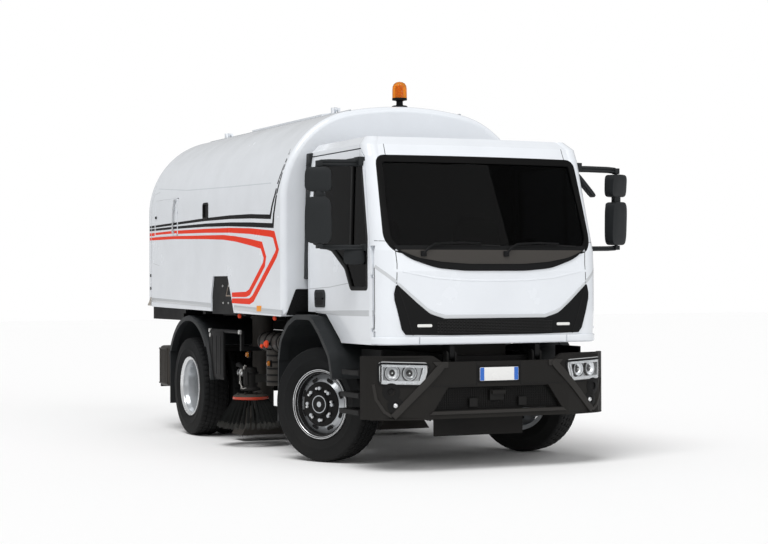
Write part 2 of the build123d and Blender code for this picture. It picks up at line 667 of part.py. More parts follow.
# Stepped floor: foot wells in front, seat base over the wheels, a tunnel over the engine.
FLOOR_THICKNESS = 40
FLOOR_UNDERSIDE = CAB_FLOOR_Z - FLOOR_THICKNESS
FOOT_WELL_REAR = -560
TUNNEL_HALF = 340
TUNNEL_WALL = 30
with BuildPart() as cab_floor:
    with BuildSketch(Plane.YZ.offset(-REACH / 2)):
        with BuildLine():
            Polyline(
                (CAB_TILT_Y - 200, CAB_FLOOR_Z - FLOOR_THICKNESS),
                (FRONT_AXLE_Y + FOOT_WELL_REAR, CAB_FLOOR_Z - FLOOR_THICKNESS),
                (FRONT_AXLE_Y + FOOT_WELL_REAR + 60, CAB_SEAT_BASE_Z - FLOOR_THICKNESS),
                (CAB_REAR_Y, CAB_SEAT_BASE_Z - FLOOR_THICKNESS),
                (CAB_REAR_Y, CAB_SEAT_BASE_Z),
                (FRONT_AXLE_Y + FOOT_WELL_REAR + 20, CAB_SEAT_BASE_Z),
                (FRONT_AXLE_Y + FOOT_WELL_REAR - 40, CAB_FLOOR_Z),
                (CAB_TILT_Y - 200, CAB_FLOOR_Z),
                close=True,
            )
        make_face()
    extrude(amount=REACH)
    tunnel_length = FRONT_AXLE_Y + FOOT_WELL_REAR + 60 - (CAB_TILT_Y - 200)
    tunnel_y = CAB_TILT_Y - 200 + tunnel_length / 2
    with Locations((0, tunnel_y, (CAB_FLOOR_Z - FLOOR_THICKNESS + CAB_SEAT_BASE_Z) / 2)):
        Box(2 * TUNNEL_HALF, tunnel_length, CAB_SEAT_BASE_Z - CAB_FLOOR_Z + FLOOR_THICKNESS)
    with Locations((0, tunnel_y, (CAB_FLOOR_Z - FLOOR_THICKNESS + CAB_SEAT_BASE_Z) / 2 - FLOOR_THICKNESS)):
        Box(
            2 * (TUNNEL_HALF - TUNNEL_WALL),
            tunnel_length,
            CAB_SEAT_BASE_Z - CAB_FLOOR_Z + FLOOR_THICKNESS,
            mode=Mode.SUBTRACT,
        )
    add(cab_room, mode=Mode.INTERSECT)
    # clear of the doors, and pin holes' bosses for the tilt hinge under the nose
    for side, _ in SIDES:
        clear_x = REACH / 2 + HINGE_X - 26 - CAB_WALL - 200
        with Locations((side * clear_x, FRONT_AXLE_Y - 400, CAB_ROOF_Z / 2)):
            Box(REACH - 400, 1600, CAB_ROOF_Z, mode=Mode.SUBTRACT)
    for side, _ in SIDES:
        with BuildSketch(Plane.YZ.offset(side * TILT_LUG_X - TILT_LUG / 2)):
            with Locations((CAB_TILT_Y, CAB_TILT_Z)):
                Circle(TILT_EYE_R)
            with BuildLine():
                Polyline(
                    (CAB_TILT_Y - TILT_EYE_R, CAB_TILT_Z),
                    (CAB_TILT_Y - TILT_EYE_R, CAB_LIP_Z - MOVING_GAP),
                    (CAB_TILT_Y + 30, CAB_LIP_Z - MOVING_GAP),
                    (CAB_TILT_Y + 45, FLOOR_UNDERSIDE),
                    (CAB_TILT_Y + 150, FLOOR_UNDERSIDE),
                    (CAB_TILT_Y + TILT_EYE_R, CAB_TILT_Z),
                    close=True,
                )
            make_face()
            with Locations((CAB_TILT_Y, CAB_TILT_Z)):
                Circle(TILT_PIN_RADIUS + RUNNING_GAP, mode=Mode.SUBTRACT)
        extrude(amount=TILT_LUG)
write(cab_floor, "cab_floor")

# ======== Glass: each pane fills its opening, a little below the skin ========
PANE_IN = 14
PANE_THICKNESS = 7
pane_outer = cab_form(PANE_IN, CAB_LIP_Z)
pane_inner = cab_form(PANE_IN + PANE_THICKNESS, CAB_LIP_Z)
with BuildPart() as windscreen:
    with BuildSketch(Plane.XZ.offset(-(FRONT_AXLE_Y - 700))):
        with BuildLine():
            Polyline(
                (-WINDSCREEN_X, WINDSCREEN_TOP),
                (WINDSCREEN_X, WINDSCREEN_TOP),
                (WINDSCREEN_X + 40, WINDSCREEN_BOTTOM + 120),
                (WINDSCREEN_X - 25, WINDSCREEN_BOTTOM),
                (-WINDSCREEN_X + 25, WINDSCREEN_BOTTOM),
                (-WINDSCREEN_X - 40, WINDSCREEN_BOTTOM + 120),
                close=True,
            )
        make_face()
        fillet(vertices(), 40)
    extrude(amount=800)
    add(pane_outer, mode=Mode.INTERSECT)
    add(pane_inner, mode=Mode.SUBTRACT)
write(windscreen, "windscreen")

# ======== Doors, hung on pins at their front edge ========
for side, name in SIDES:
    with BuildPart() as door:
        extrude(door_shape.sketch.moved(Location((side * DOORWAY_X, 0, 0))), amount=side * DOOR_CUT)
        add(cab_skin, mode=Mode.INTERSECT)
        add(cab_room, mode=Mode.SUBTRACT)
        window = side_glass_shape.sketch.moved(Location((side * DOORWAY_X, 0, 0)))
        extrude(window, amount=side * DOOR_CUT, mode=Mode.SUBTRACT)
        pocket_x = HINGE_X - HINGE_POCKET_R + POCKET_REACH / 2
        pocket_y = HINGE_Y + HINGE_POCKET_R - POCKET_REACH / 2
        for z in HINGE_LEVELS:
            with Locations((side * HINGE_X, HINGE_Y, z)):
                Cylinder(HINGE_PIN_R + RUNNING_GAP, HINGE_PIN_LENGTH + 2, mode=Mode.SUBTRACT)
            with Locations((side * pocket_x, pocket_y, z)):
                Box(POCKET_REACH, POCKET_REACH, HINGE_POCKET, mode=Mode.SUBTRACT)
    write(door, f"door_{name}")
    with BuildPart() as door_glass:
        extrude(window, amount=side * DOOR_CUT)
        add(pane_outer, mode=Mode.INTERSECT)
        add(pane_inner, mode=Mode.SUBTRACT)
    write(door_glass, f"door_glass_{name}")

# ======== Mirrors, two housings on a tube with two arms to the door ========
MIRROR_X = 1437
MIRROR_Y = FRONT_AXLE_Y - 860
MIRROR_WIDTH = 236
MIRROR_DEPTH = 110
MIRROR_TUBE_R = 16
# bottom, top
MIRROR_HOUSINGS = ((1885, 2260), (2318, 2500))
# height, root's front and rear on the door frame, root X inside the door's skin
MIRROR_ARMS = ((1845, -1030, -992, 1036), (2608, -800, -745, 1008))
for side, name in SIDES:
    with BuildPart() as mirrors:
        for bottom, top in MIRROR_HOUSINGS:
            with BuildPart(mode=Mode.PRIVATE) as housing:
                with Locations((side * MIRROR_X, MIRROR_Y, (bottom + top) / 2)):
                    Box(MIRROR_WIDTH, MIRROR_DEPTH, top - bottom)
                fillet(housing.edges(), 28)
            add(housing.part)
        tube_bottom = MIRROR_ARMS[0][0]
        tube_top = MIRROR_ARMS[1][0]
        with Locations((side * (MIRROR_X - 60), MIRROR_Y, (tube_bottom + tube_top) / 2)):
            Cylinder(MIRROR_TUBE_R, tube_top - tube_bottom)
        for z, root_front, root_rear, root_x in MIRROR_ARMS:
            with BuildSketch(Plane.XY.offset(z - MIRROR_TUBE_R)):
                with BuildLine():
                    Polyline(
                        (side * root_x, FRONT_AXLE_Y + root_front),
                        (side * (MIRROR_X - 60), MIRROR_Y - 22),
                        (side * (MIRROR_X - 30), MIRROR_Y),
                        (side * (MIRROR_X - 60), MIRROR_Y + 22),
                        (side * root_x, FRONT_AXLE_Y + root_rear),
                        close=True,
                    )
                make_face()
            extrude(amount=2 * MIRROR_TUBE_R)
        add(cab_skin, mode=Mode.SUBTRACT)
    write(mirrors, f"mirrors_{name}")

# ======== Black trim on the nose: cowl under the glass, grille with its two wings ========
TRIM_PROUD = 10
trim_skin = cab_form(-TRIM_PROUD, CAB_LIP_Z)
with BuildPart() as front_trim:
    with BuildSketch(Plane.XZ.offset(-(FRONT_AXLE_Y - 700))):
        with BuildLine():
            cowl_bottom = ThreePointArc((-534, 1666), (0, 1637), (534, 1666))
            Polyline((534, 1666), (720, 1722), (880, 1806), (-880, 1806), (-720, 1722), (-534, 1666))
        make_face()
        with BuildLine():
            Polyline(
                (-470, 1251),
                (470, 1251),
                (600, 1290),
                (720, 1385),
                (886, 1531),
                (960, 1470),
                (915, 1160),
                (870, 1126),
                (-870, 1126),
                (-915, 1160),
                (-960, 1470),
                (-886, 1531),
                (-720, 1385),
                (-600, 1290),
                close=True,
            )
        make_face()
    extrude(amount=800)
    add(trim_skin, mode=Mode.INTERSECT)
    add(cab_skin, mode=Mode.SUBTRACT)

# ======== Dashboard with the steering wheel, and the seats ========
DASH_TOP = 1790
DASH_REAR_Y = FRONT_AXLE_Y - 820
DRIVER_X = 500
with BuildPart() as dashboard:
    with BuildSketch(Plane.YZ.offset(-REACH / 2)):
        with BuildLine():
            Polyline(
                (CAB_TILT_Y - 200, DASH_TOP),
                (DASH_REAR_Y - 60, DASH_TOP),
                (DASH_REAR_Y, DASH_TOP - 60),
                (DASH_REAR_Y - 40, DASH_TOP - 300),
                (CAB_TILT_Y - 200, DASH_TOP - 380),
                close=True,
            )
        make_face()
    extrude(amount=REACH)
    add(cab_room, mode=Mode.INTERSECT)
    for side, _ in SIDES:
        clear_x = REACH / 2 + HINGE_X - 40 - CAB_WALL - 200
        with Locations((side * clear_x, FRONT_AXLE_Y - 400, CAB_ROOF_Z / 2)):
            Box(REACH - 400, 1600, CAB_ROOF_Z, mode=Mode.SUBTRACT)
    wheel_tilt = Plane(
        origin=(DRIVER_X, DASH_REAR_Y + 120, DASH_TOP + 10), x_dir=Vector(1, 0, 0), z_dir=Vector(0, 0.5, 0.86)
    )
    with BuildSketch(wheel_tilt.offset(-340)):
        Circle(30)
    extrude(amount=330)
    with Locations(wheel_tilt.location):
        Torus(215, 14)
        Cylinder(45, 30)
        for turn in (90, 210, 330):
            with Locations(Location((0, 0, 0), (0, 0, turn))):
                with Locations((110, 0, 0)):
                    Box(215, 30, 12)
write(dashboard, "dashboard")

SEAT_WIDTH = 500
SEAT_FRONT_Y = FRONT_AXLE_Y - 460
SEAT_BACK_Y = FRONT_AXLE_Y + 120
with BuildPart() as seats:
    for seat_x in (-DRIVER_X, DRIVER_X):
        with BuildSketch(Plane.YZ.offset(seat_x - SEAT_WIDTH / 2)):
            with BuildLine():
                Polyline(
                    (SEAT_FRONT_Y, CAB_SEAT_BASE_Z),
                    (SEAT_BACK_Y - 40, CAB_SEAT_BASE_Z),
                    (SEAT_BACK_Y + 60, CAB_SEAT_BASE_Z + 780),
                    (SEAT_BACK_Y - 20, CAB_SEAT_BASE_Z + 800),
                    (SEAT_BACK_Y - 150, CAB_SEAT_BASE_Z + 190),
                    (SEAT_FRONT_Y - 20, CAB_SEAT_BASE_Z + 200),
                    (SEAT_FRONT_Y - 40, CAB_SEAT_BASE_Z + 110),
                    close=True,
                )
            make_face()
        extrude(amount=SEAT_WIDTH)
write(seats, "seats")

# ======== Air intake on the cab's rear corner ========
with BuildPart() as intake_stack:
    for side, _ in SIDES[:1]:
        with Locations((side * 985, CAB_REAR_Y + 30, (1584 + 2702) / 2)):
            Box(110, 60, 2702 - 1584)
write_group((front_trim, intake_stack), "cab_trim")

# ======== Front bumper ========
BUMPER_HALF = 1140
BUMPER_BOTTOM = 435
BUMPER_TOP = 950
BUMPER_MIDDLE_TOP = 897
BUMPER_WALL = 45
BUMPER_CORNER = 110
HEADLAMP_OUTLINE = ((676, 872), (1050, 884), (1050, 742), (720, 732))
FOG_LAMPS = ((974, 677), (939, 564))
FOG_LAMP_R = 36
with BuildPart() as bumper:
    with BuildSketch(Plane.XY.offset(BUMPER_BOTTOM)):
        with BuildLine():
            FilletPolyline(
                (BUMPER_HALF, FRONT_AXLE_Y - 1040),
                (BUMPER_HALF, FRONT_AXLE_Y - 1190),
                (650, NOSE_Y),
                (-650, NOSE_Y),
                (-BUMPER_HALF, FRONT_AXLE_Y - 1190),
                (-BUMPER_HALF, FRONT_AXLE_Y - 1040),
                radius=(BUMPER_CORNER, 200, 200, BUMPER_CORNER),
            )
            Line((-BUMPER_HALF, FRONT_AXLE_Y - 1040), (BUMPER_HALF, FRONT_AXLE_Y - 1040))
        make_face()
        with BuildLine():
            FilletPolyline(
                (BUMPER_HALF - BUMPER_WALL, FRONT_AXLE_Y - 1000),
                (BUMPER_HALF - BUMPER_WALL, FRONT_AXLE_Y - 1190 + BUMPER_WALL * 0.8),
                (650 - 10, NOSE_Y + BUMPER_WALL),
                (-650 + 10, NOSE_Y + BUMPER_WALL),
                (-BUMPER_HALF + BUMPER_WALL, FRONT_AXLE_Y - 1190 + BUMPER_WALL * 0.8),
                (-BUMPER_HALF + BUMPER_WALL, FRONT_AXLE_Y - 1000),
                radius=(BUMPER_CORNER - BUMPER_WALL, 160, 160, BUMPER_CORNER - BUMPER_WALL),
            )
            Line(
                (-BUMPER_HALF + BUMPER_WALL, FRONT_AXLE_Y - 1000),
                (BUMPER_HALF - BUMPER_WALL, FRONT_AXLE_Y - 1000),
            )
        make_face(mode=Mode.SUBTRACT)
    extrude(amount=BUMPER_TOP - BUMPER_BOTTOM)
    # what the front view takes away: the dropped middle of the top edge, the lower mouth, the lamp windows
    with BuildSketch(Plane.XZ.offset(-(FRONT_AXLE_Y - 1000))):
        with BuildLine():
            Polyline(
                (-620, BUMPER_TOP + 10),
                (620, BUMPER_TOP + 10),
                (520, BUMPER_MIDDLE_TOP),
                (-520, BUMPER_MIDDLE_TOP),
                close=True,
            )
        make_face()
        with BuildLine():
            Polyline((-470, 690), (470, 690), (600, 500), (-600, 500), close=True)
        make_face()
        for side, _ in SIDES:
            with BuildLine():
                Polyline(*[(side * x, z) for x, z in HEADLAMP_OUTLINE], close=True)
            make_face()
            with Locations(*[(side * x, z) for x, z in FOG_LAMPS]):
                Circle(FOG_LAMP_R)
    extrude(amount=500, mode=Mode.SUBTRACT)
write(bumper, "bumper")

# ======== Brackets that carry the bumper, the tilt hinge and the air dam ========
BUMPER_BACK_Y = NOSE_Y + BUMPER_WALL
CARRIER_Z = 800
POST_PLATE = 16
POST_OUTER = TILT_LUG / 2 + MOVING_GAP + POST_PLATE
POST_HALF = 36
BEAM_Z = 790
TOW_LUG_Z = 640
TOW_LUG_WIDTH = 120
TOW_LUG_THICKNESS = 30
TOW_BORE_R = 20
with BuildPart() as front_carrier:
    for side, _ in SIDES:
        # arm from the rail's nose to the bumper's back
        with Locations((side * TILT_LUG_X, (RAIL_FRONT_Y + BUMPER_BACK_Y) / 2, CARRIER_Z)):
            Box(2 * POST_OUTER, RAIL_FRONT_Y - BUMPER_BACK_Y, 120)
        # post for the tilt pin, with the pin through the cab's lug
        for post_x in (TILT_LUG_X - POST_OUTER, TILT_LUG_X + POST_OUTER - POST_PLATE):
            with BuildSketch(Plane.YZ.offset(side * post_x if side > 0 else -post_x - POST_PLATE)):
                with Locations((CAB_TILT_Y, CAB_TILT_Z)):
                    Circle(POST_HALF)
                with Locations((CAB_TILT_Y, (CAB_TILT_Z + CARRIER_Z) / 2)):
                    Rectangle(2 * POST_HALF, CAB_TILT_Z - CARRIER_Z)
            extrude(amount=POST_PLATE)
        with BuildSketch(Plane.YZ.offset(side * TILT_LUG_X - POST_OUTER)):
            with Locations((CAB_TILT_Y, CAB_TILT_Z)):
                Circle(TILT_PIN_RADIUS)
        extrude(amount=2 * POST_OUTER)
    # bumper beam above the mouth, with a towing lug below it
    with Locations((0, BUMPER_BACK_Y + 30, BEAM_Z)):
        Box(2 * 580, 60, 90)
    with Locations((0, BUMPER_BACK_Y + 42, (BEAM_Z + TOW_LUG_Z) / 2)):
        Box(TOW_LUG_WIDTH, 36, BEAM_Z - TOW_LUG_Z + TOW_LUG_THICKNESS)
    with Locations((0, BUMPER_BACK_Y + 12, TOW_LUG_Z)):
        Box(TOW_LUG_WIDTH, 96, TOW_LUG_THICKNESS)
    with Locations((0, BUMPER_BACK_Y - 3, TOW_LUG_Z)):
        Cylinder(TOW_BORE_R, 2 * TOW_LUG_THICKNESS, mode=Mode.SUBTRACT)
    # air dam
    with Locations((0, FRONT_AXLE_Y - 935, 480)):
        Box(840, 20, 2 * (RAIL_BOTTOM - 10 - 480))
    for side, _ in SIDES:
        with Locations((side * (RAIL_X - 30), FRONT_AXLE_Y - 935, RAIL_BOTTOM - 25)):
            Box(40, 60, 50)
write(front_carrier, "front_carrier")

# ======== Lamps: headlamps and fog lamps in front, clusters at the tail ========
TAIL_BAR_Y = REAR_AXLE_Y + 1168
TAIL_BAR_Z = 560
TAIL_BAR_BACK_Y = TAIL_BAR_Y + 10
TAIL_LAMP_X = 985
TAIL_LAMP_Z = 520
TAIL_LAMP_Y = TAIL_BAR_BACK_Y + 40
with BuildPart() as lamps:
    for side, _ in SIDES:
        with BuildSketch(Plane.XZ.offset(-(FRONT_AXLE_Y - 1090))):
            with BuildLine():
                Polyline(*[(side * x, z) for x, z in HEADLAMP_OUTLINE], close=True)
            make_face()
            with Locations(*[(side * x, z) for x, z in FOG_LAMPS]):
                Circle(FOG_LAMP_R)
        extrude(amount=190)
    with BuildPart(mode=Mode.PRIVATE) as bumper_face:
        with BuildSketch(Plane.XY.offset(BUMPER_BOTTOM)):
            with BuildLine():
                FilletPolyline(
                    (BUMPER_HALF - 12, FRONT_AXLE_Y - 1040),
                    (BUMPER_HALF - 12, FRONT_AXLE_Y - 1182),
                    (650, NOSE_Y + 12),
                    (-650, NOSE_Y + 12),
                    (-BUMPER_HALF + 12, FRONT_AXLE_Y - 1182),
                    (-BUMPER_HALF + 12, FRONT_AXLE_Y - 1040),
                    radius=(BUMPER_CORNER - 12, 200, 200, BUMPER_CORNER - 12),
                )
                Line((-BUMPER_HALF + 12, FRONT_AXLE_Y - 1040), (BUMPER_HALF - 12, FRONT_AXLE_Y - 1040))
            make_face()
        extrude(amount=BUMPER_TOP - BUMPER_BOTTOM)
    add(bumper_face.part, mode=Mode.INTERSECT)
    for side, _ in SIDES:
        with Locations((side * TAIL_LAMP_X, TAIL_LAMP_Y + 15, TAIL_LAMP_Z)):
            Box(280, 30, 110)
write(lamps, "lamps")

# ======== Front mudguards, a bent band with a deeper outer lip ========
GUARD_SHEET = 22
GUARD_OUTER_X = 1180
GUARD_INNER_X = 690
GUARD_LIP = 90
GUARD_LIP_DEPTH = 42
# Y back from the front axle, height. The line stays clear of the opening door and the hopper's front.
FRONT_GUARD_LINE = (
    (-535, 740),
    (-480, 930),
    (-250, 1128),
    (-60, 1250),
    (280, 1250),
    (470, 1180),
    (640, 1040),
    (690, 860),
    (705, 300),
)
FRONT_GUARD_R = 200
GUARD_ARM_Z = 880
with BuildPart() as front_mudguards:
    for side, _ in SIDES:
        inner = side * GUARD_INNER_X
        with BuildSketch(Plane.YZ.offset(inner)):
            with BuildLine() as guard_line:
                FilletPolyline(*[(FRONT_AXLE_Y + y, z) for y, z in FRONT_GUARD_LINE], radius=FRONT_GUARD_R)
            trace(line_width=GUARD_SHEET)
        extrude(amount=side * (GUARD_OUTER_X - GUARD_INNER_X))
        with BuildSketch(Plane.YZ.offset(side * (GUARD_OUTER_X - GUARD_LIP))):
            with BuildLine():
                lip_line = [(FRONT_AXLE_Y + y, z) for y, z in FRONT_GUARD_LINE[:-1]]
                FilletPolyline(*lip_line, radius=FRONT_GUARD_R)
            trace(line_width=GUARD_LIP_DEPTH)
        extrude(amount=side * GUARD_LIP)
        # stay from the rail to the guard's rear leg
        with Locations((side * (RAIL_OUTSIDE + GUARD_INNER_X + 60) / 2, FRONT_AXLE_Y + 688, GUARD_ARM_Z)):
            Box(GUARD_INNER_X + 60 - RAIL_OUTSIDE, 40, 40)
write(front_mudguards, "front_mudguards")

# ======== Rear mudguards over the twin wheels, with flaps ========
REAR_GUARD_R = 706
REAR_GUARD_OUTER_X = 1235
REAR_GUARD_INNER_X = 620
FLAP_BOTTOM = 290
with BuildPart() as rear_mudguards:
    for side, _ in SIDES:
        with BuildSketch(Plane.YZ.offset(side * REAR_GUARD_INNER_X)):
            with BuildLine():
                CenterArc((REAR_AXLE_Y, AXLE_Z), REAR_GUARD_R, 30, 112)
            trace(line_width=GUARD_SHEET)
        extrude(amount=side * (REAR_GUARD_OUTER_X - REAR_GUARD_INNER_X))
        with BuildSketch(Plane.YZ.offset(side * (REAR_GUARD_OUTER_X - 70))):
            with BuildLine():
                CenterArc((REAR_AXLE_Y, AXLE_Z), REAR_GUARD_R - 12, 30, 112)
            trace(line_width=GUARD_SHEET + 24)
        extrude(amount=side * 70)
        flap_y = REAR_AXLE_Y + REAR_GUARD_R * cos(radians(30)) - 4
        flap_top = AXLE_Z + REAR_GUARD_R * sin(radians(30)) + 20
        flap_x = side * (REAR_GUARD_INNER_X + REAR_GUARD_OUTER_X) / 2
        with Locations((flap_x, flap_y, (flap_top + FLAP_BOTTOM) / 2)):
            Box(REAR_GUARD_OUTER_X - REAR_GUARD_INNER_X, 14, flap_top - FLAP_BOTTOM)
        with Locations((side * (RAIL_OUTSIDE + REAR_GUARD_INNER_X + 40) / 2, flap_y, 800)):
            Box(REAR_GUARD_INNER_X + 40 - RAIL_OUTSIDE, 40, 40)
write(rear_mudguards, "rear_mudguards")

# ======== Entry steps on a plate behind the bumper's ends ========
STEP_PLATE_X = 935
STEP_OUTER_X = 1150
# top, front, rear
STEP_TREADS = ((830, -1035, -690), (645, -1035, -660), (505, -1035, -630))
with BuildPart() as steps:
    for side, _ in SIDES:
        with Locations((side * STEP_PLATE_X, FRONT_AXLE_Y - 835, 715)):
            Box(20, 400, 560)
        for top, front, rear in STEP_TREADS:
            with Locations(
                (side * (STEP_PLATE_X + STEP_OUTER_X) / 2, FRONT_AXLE_Y + (front + rear) / 2, top - 20)
            ):
                Box(STEP_OUTER_X - STEP_PLATE_X, rear - front, 40)
        with Locations((side * (RAIL_OUTSIDE + STEP_PLATE_X) / 2, FRONT_AXLE_Y - 1000, 800)):
            Box(STEP_PLATE_X - RAIL_OUTSIDE, 60, 60)
write(steps, "steps")

# ======== Side guards ahead of the rear wheels, and the bar above the brush ========
SKIRT_X = 1200
SKIRT_FRONT_Y = FRONT_AXLE_Y + 2090
SKIRT_REAR_Y = REAR_AXLE_Y - 590
SIDE_BAR_X = SKIRT_X - 10
SIDE_BAR_Z = 1085
SIDE_BAR_FRONT_Y = FRONT_AXLE_Y + 1630
SIDE_ARM_Z = 925
with BuildPart() as side_guards:
    for side, _ in SIDES:
        with Locations((side * SKIRT_X, (SKIRT_FRONT_Y + SKIRT_REAR_Y) / 2, 850)):
            Box(16, SKIRT_REAR_Y - SKIRT_FRONT_Y, 480)
        with Locations((side * (RAIL_OUTSIDE + SKIRT_X) / 2, SKIRT_REAR_Y - 60, 900)):
            Box(SKIRT_X - RAIL_OUTSIDE, 50, 50)
        with BuildSketch(Plane.XZ.offset(-SIDE_BAR_FRONT_Y)):
            with Locations((side * SIDE_BAR_X, SIDE_BAR_Z)):
                Circle(18)
        extrude(amount=-(SKIRT_REAR_Y - SIDE_BAR_FRONT_Y))
        with Locations((side * (RAIL_OUTSIDE + SIDE_BAR_X) / 2, SIDE_BAR_FRONT_Y + 30, SIDE_ARM_Z)):
            Box(SIDE_BAR_X - RAIL_OUTSIDE, 40, 40)
        with Locations((side * (SIDE_BAR_X - 15), SIDE_BAR_FRONT_Y + 30, (SIDE_ARM_Z + SIDE_BAR_Z) / 2)):
            Box(30, 40, SIDE_BAR_Z - SIDE_ARM_Z)
write(side_guards, "side_guards")

# ======== Rear underrun bar with its lamp brackets, and the lamps' carriers ========
TAIL_BAR_HEIGHT = 130
TOW_JAW_GAP = 70
TOW_JAW_EAR = 25
TOW_JAW_REACH = 110
with BuildPart() as rear_underrun:
    with Locations((0, TAIL_BAR_BACK_Y - 40, TAIL_BAR_Z)):
        Box(2 * 1150, 80, TAIL_BAR_HEIGHT)
    # hangers under the rails' ends, lamp brackets
    hanger_bottom = TAIL_BAR_Z + TAIL_BAR_HEIGHT / 2 - 20
    for side, _ in SIDES:
        with Locations((side * (RAIL_X - 30), TAIL_BAR_BACK_Y - 70, (RAIL_BOTTOM + hanger_bottom) / 2)):
            Box(60, 130, RAIL_BOTTOM - hanger_bottom)
        with Locations((side * TAIL_LAMP_X, TAIL_LAMP_Y - 20, TAIL_LAMP_Z)):
            Box(330, 40, 170)
    # towing jaw with a vertical pin bore
    for ear in (-1, 1):
        with Locations(
            (0, TAIL_BAR_BACK_Y + TOW_JAW_REACH / 2, TAIL_BAR_Z + ear * (TOW_JAW_GAP + TOW_JAW_EAR) / 2)
        ):
            Box(140, TOW_JAW_REACH, TOW_JAW_EAR)
    with Locations((0, TAIL_BAR_BACK_Y + 60, TAIL_BAR_Z)):
        Cylinder(TOW_BORE_R, TOW_JAW_GAP + 3 * TOW_JAW_EAR, mode=Mode.SUBTRACT)
write(rear_underrun, "rear_underrun")

# ======== Ribbed boxes behind the rear wheels ========
REAR_BOX_X = 1090
with BuildPart() as rear_boxes:
    for side, _ in SIDES:
        with BuildPart(mode=Mode.PRIVATE) as rear_box:
            with Locations((side * REAR_BOX_X, REAR_AXLE_Y + 830, 675)):
                Box(300, 310, 430)
            fillet(rear_box.edges(), 45)
        add(rear_box.part)
        with Locations((side * (RAIL_OUTSIDE + REAR_BOX_X - 120) / 2, REAR_AXLE_Y + 830, 800)):
            Box(REAR_BOX_X - 120 - RAIL_OUTSIDE, 50, 50)

# ======== Fuel tank on the left, air cleaner and canister on the right ========
with BuildPart() as fuel_tank:
    with BuildPart(mode=Mode.PRIVATE) as tank:
        with Locations((870, FRONT_AXLE_Y + 1060, 760)):
            Box(520, 600, 480)
        fillet(tank.edges().filter_by(Axis.Y), 70)
    add(tank.part)
    for y in (FRONT_AXLE_Y + 880, FRONT_AXLE_Y + 1240):
        with Locations(((RAIL_OUTSIDE + 630) / 2, y, 800)):
            Box(630 - RAIL_OUTSIDE, 50, 60)
write(fuel_tank, "fuel_tank")

with BuildPart() as air_cleaner:
    with BuildSketch(Plane.XZ.offset(-(FRONT_AXLE_Y + 850))):
        with Locations((-1030, 1000)):
            Circle(90)
    extrude(amount=-540)
    with BuildSketch(Plane.XY.offset(600)):
        with Locations((-1030, FRONT_AXLE_Y + 1120)):
            Circle(95)
    extrude(amount=330)
    with Locations(((-RAIL_OUTSIDE - 1000) / 2, FRONT_AXLE_Y + 1120, 900)):
        Box(1000 - RAIL_OUTSIDE, 60, 60)
write_group((rear_boxes, air_cleaner), "service_boxes")

# ======== Suction mouths behind the brushes, with their trunks up to the hopper floor ========
MOUTH_X = 740
MOUTH_Y = FRONT_AXLE_Y + 2250
TRUNK_R = 105
TRUNK_TOP = HOPPER_FLOOR_Z - 2 * MOVING_GAP
with BuildPart() as suction_gear:
    for side, _ in SIDES:
        with BuildSketch(Plane.XY.offset(60)) as mouth_foot:
            with Locations((side * MOUTH_X, MOUTH_Y)):
                Rectangle(560, 300)
        with BuildSketch(Plane.XY.offset(330)):
            with Locations((side * MOUTH_X, MOUTH_Y)):
                Rectangle(240, 220)
        loft(ruled=True)
        with BuildSketch(Plane.XY.offset(330)):
            with Locations((side * MOUTH_X, MOUTH_Y)):
                Circle(TRUNK_R)
        extrude(amount=TRUNK_TOP - 330)
        with BuildSketch(Plane.XY.offset(60)):
            with Locations((side * MOUTH_X, MOUTH_Y)):
                Circle(TRUNK_R - 8)
        extrude(amount=TRUNK_TOP - 60, mode=Mode.SUBTRACT)
        with Locations((side * (RAIL_OUTSIDE + MOUTH_X - TRUNK_R + 4) / 2, MOUTH_Y, 840)):
            Box(MOUTH_X - TRUNK_R + 4 - RAIL_OUTSIDE, 60, 60)
write(suction_gear, "suction_gear")

# ======== Gutter brush linkage: arm, level head and the turning brush ========
ARM_HALF_WIDTH = 30
ARM_EYE_R = 38
ARM_PIN_R = 16
HEAD_X = BRUSH_X - 110
with BuildPart() as arm_brackets:
    for side, _ in SIDES:
        for shift in (-ARM_HALF_WIDTH - MOVING_GAP - 10, ARM_HALF_WIDTH + MOVING_GAP + 10):
            with BuildSketch(Plane.XZ.offset(-(BRUSH_Y + shift - 10))):
                with Locations((side * ARM_PIVOT_X, ARM_Z)):
                    Circle(ARM_EYE_R)
                with BuildLine():
                    Polyline(
                        (side * (ARM_PIVOT_X + 20), ARM_Z - 32),
                        (side * (ARM_PIVOT_X + 20), ARM_Z + 32),
                        (side * RAIL_OUTSIDE, RAIL_BOTTOM + 90),
                        (side * RAIL_OUTSIDE, RAIL_BOTTOM + 5),
                        close=True,
                    )
                make_face()
            extrude(amount=-20)
        with BuildSketch(Plane.XZ.offset(-(BRUSH_Y - ARM_HALF_WIDTH - MOVING_GAP - 10))):
            with Locations((side * ARM_PIVOT_X, ARM_Z)):
                Circle(ARM_PIN_R)
        extrude(amount=-2 * (ARM_HALF_WIDTH + MOVING_GAP + 10))

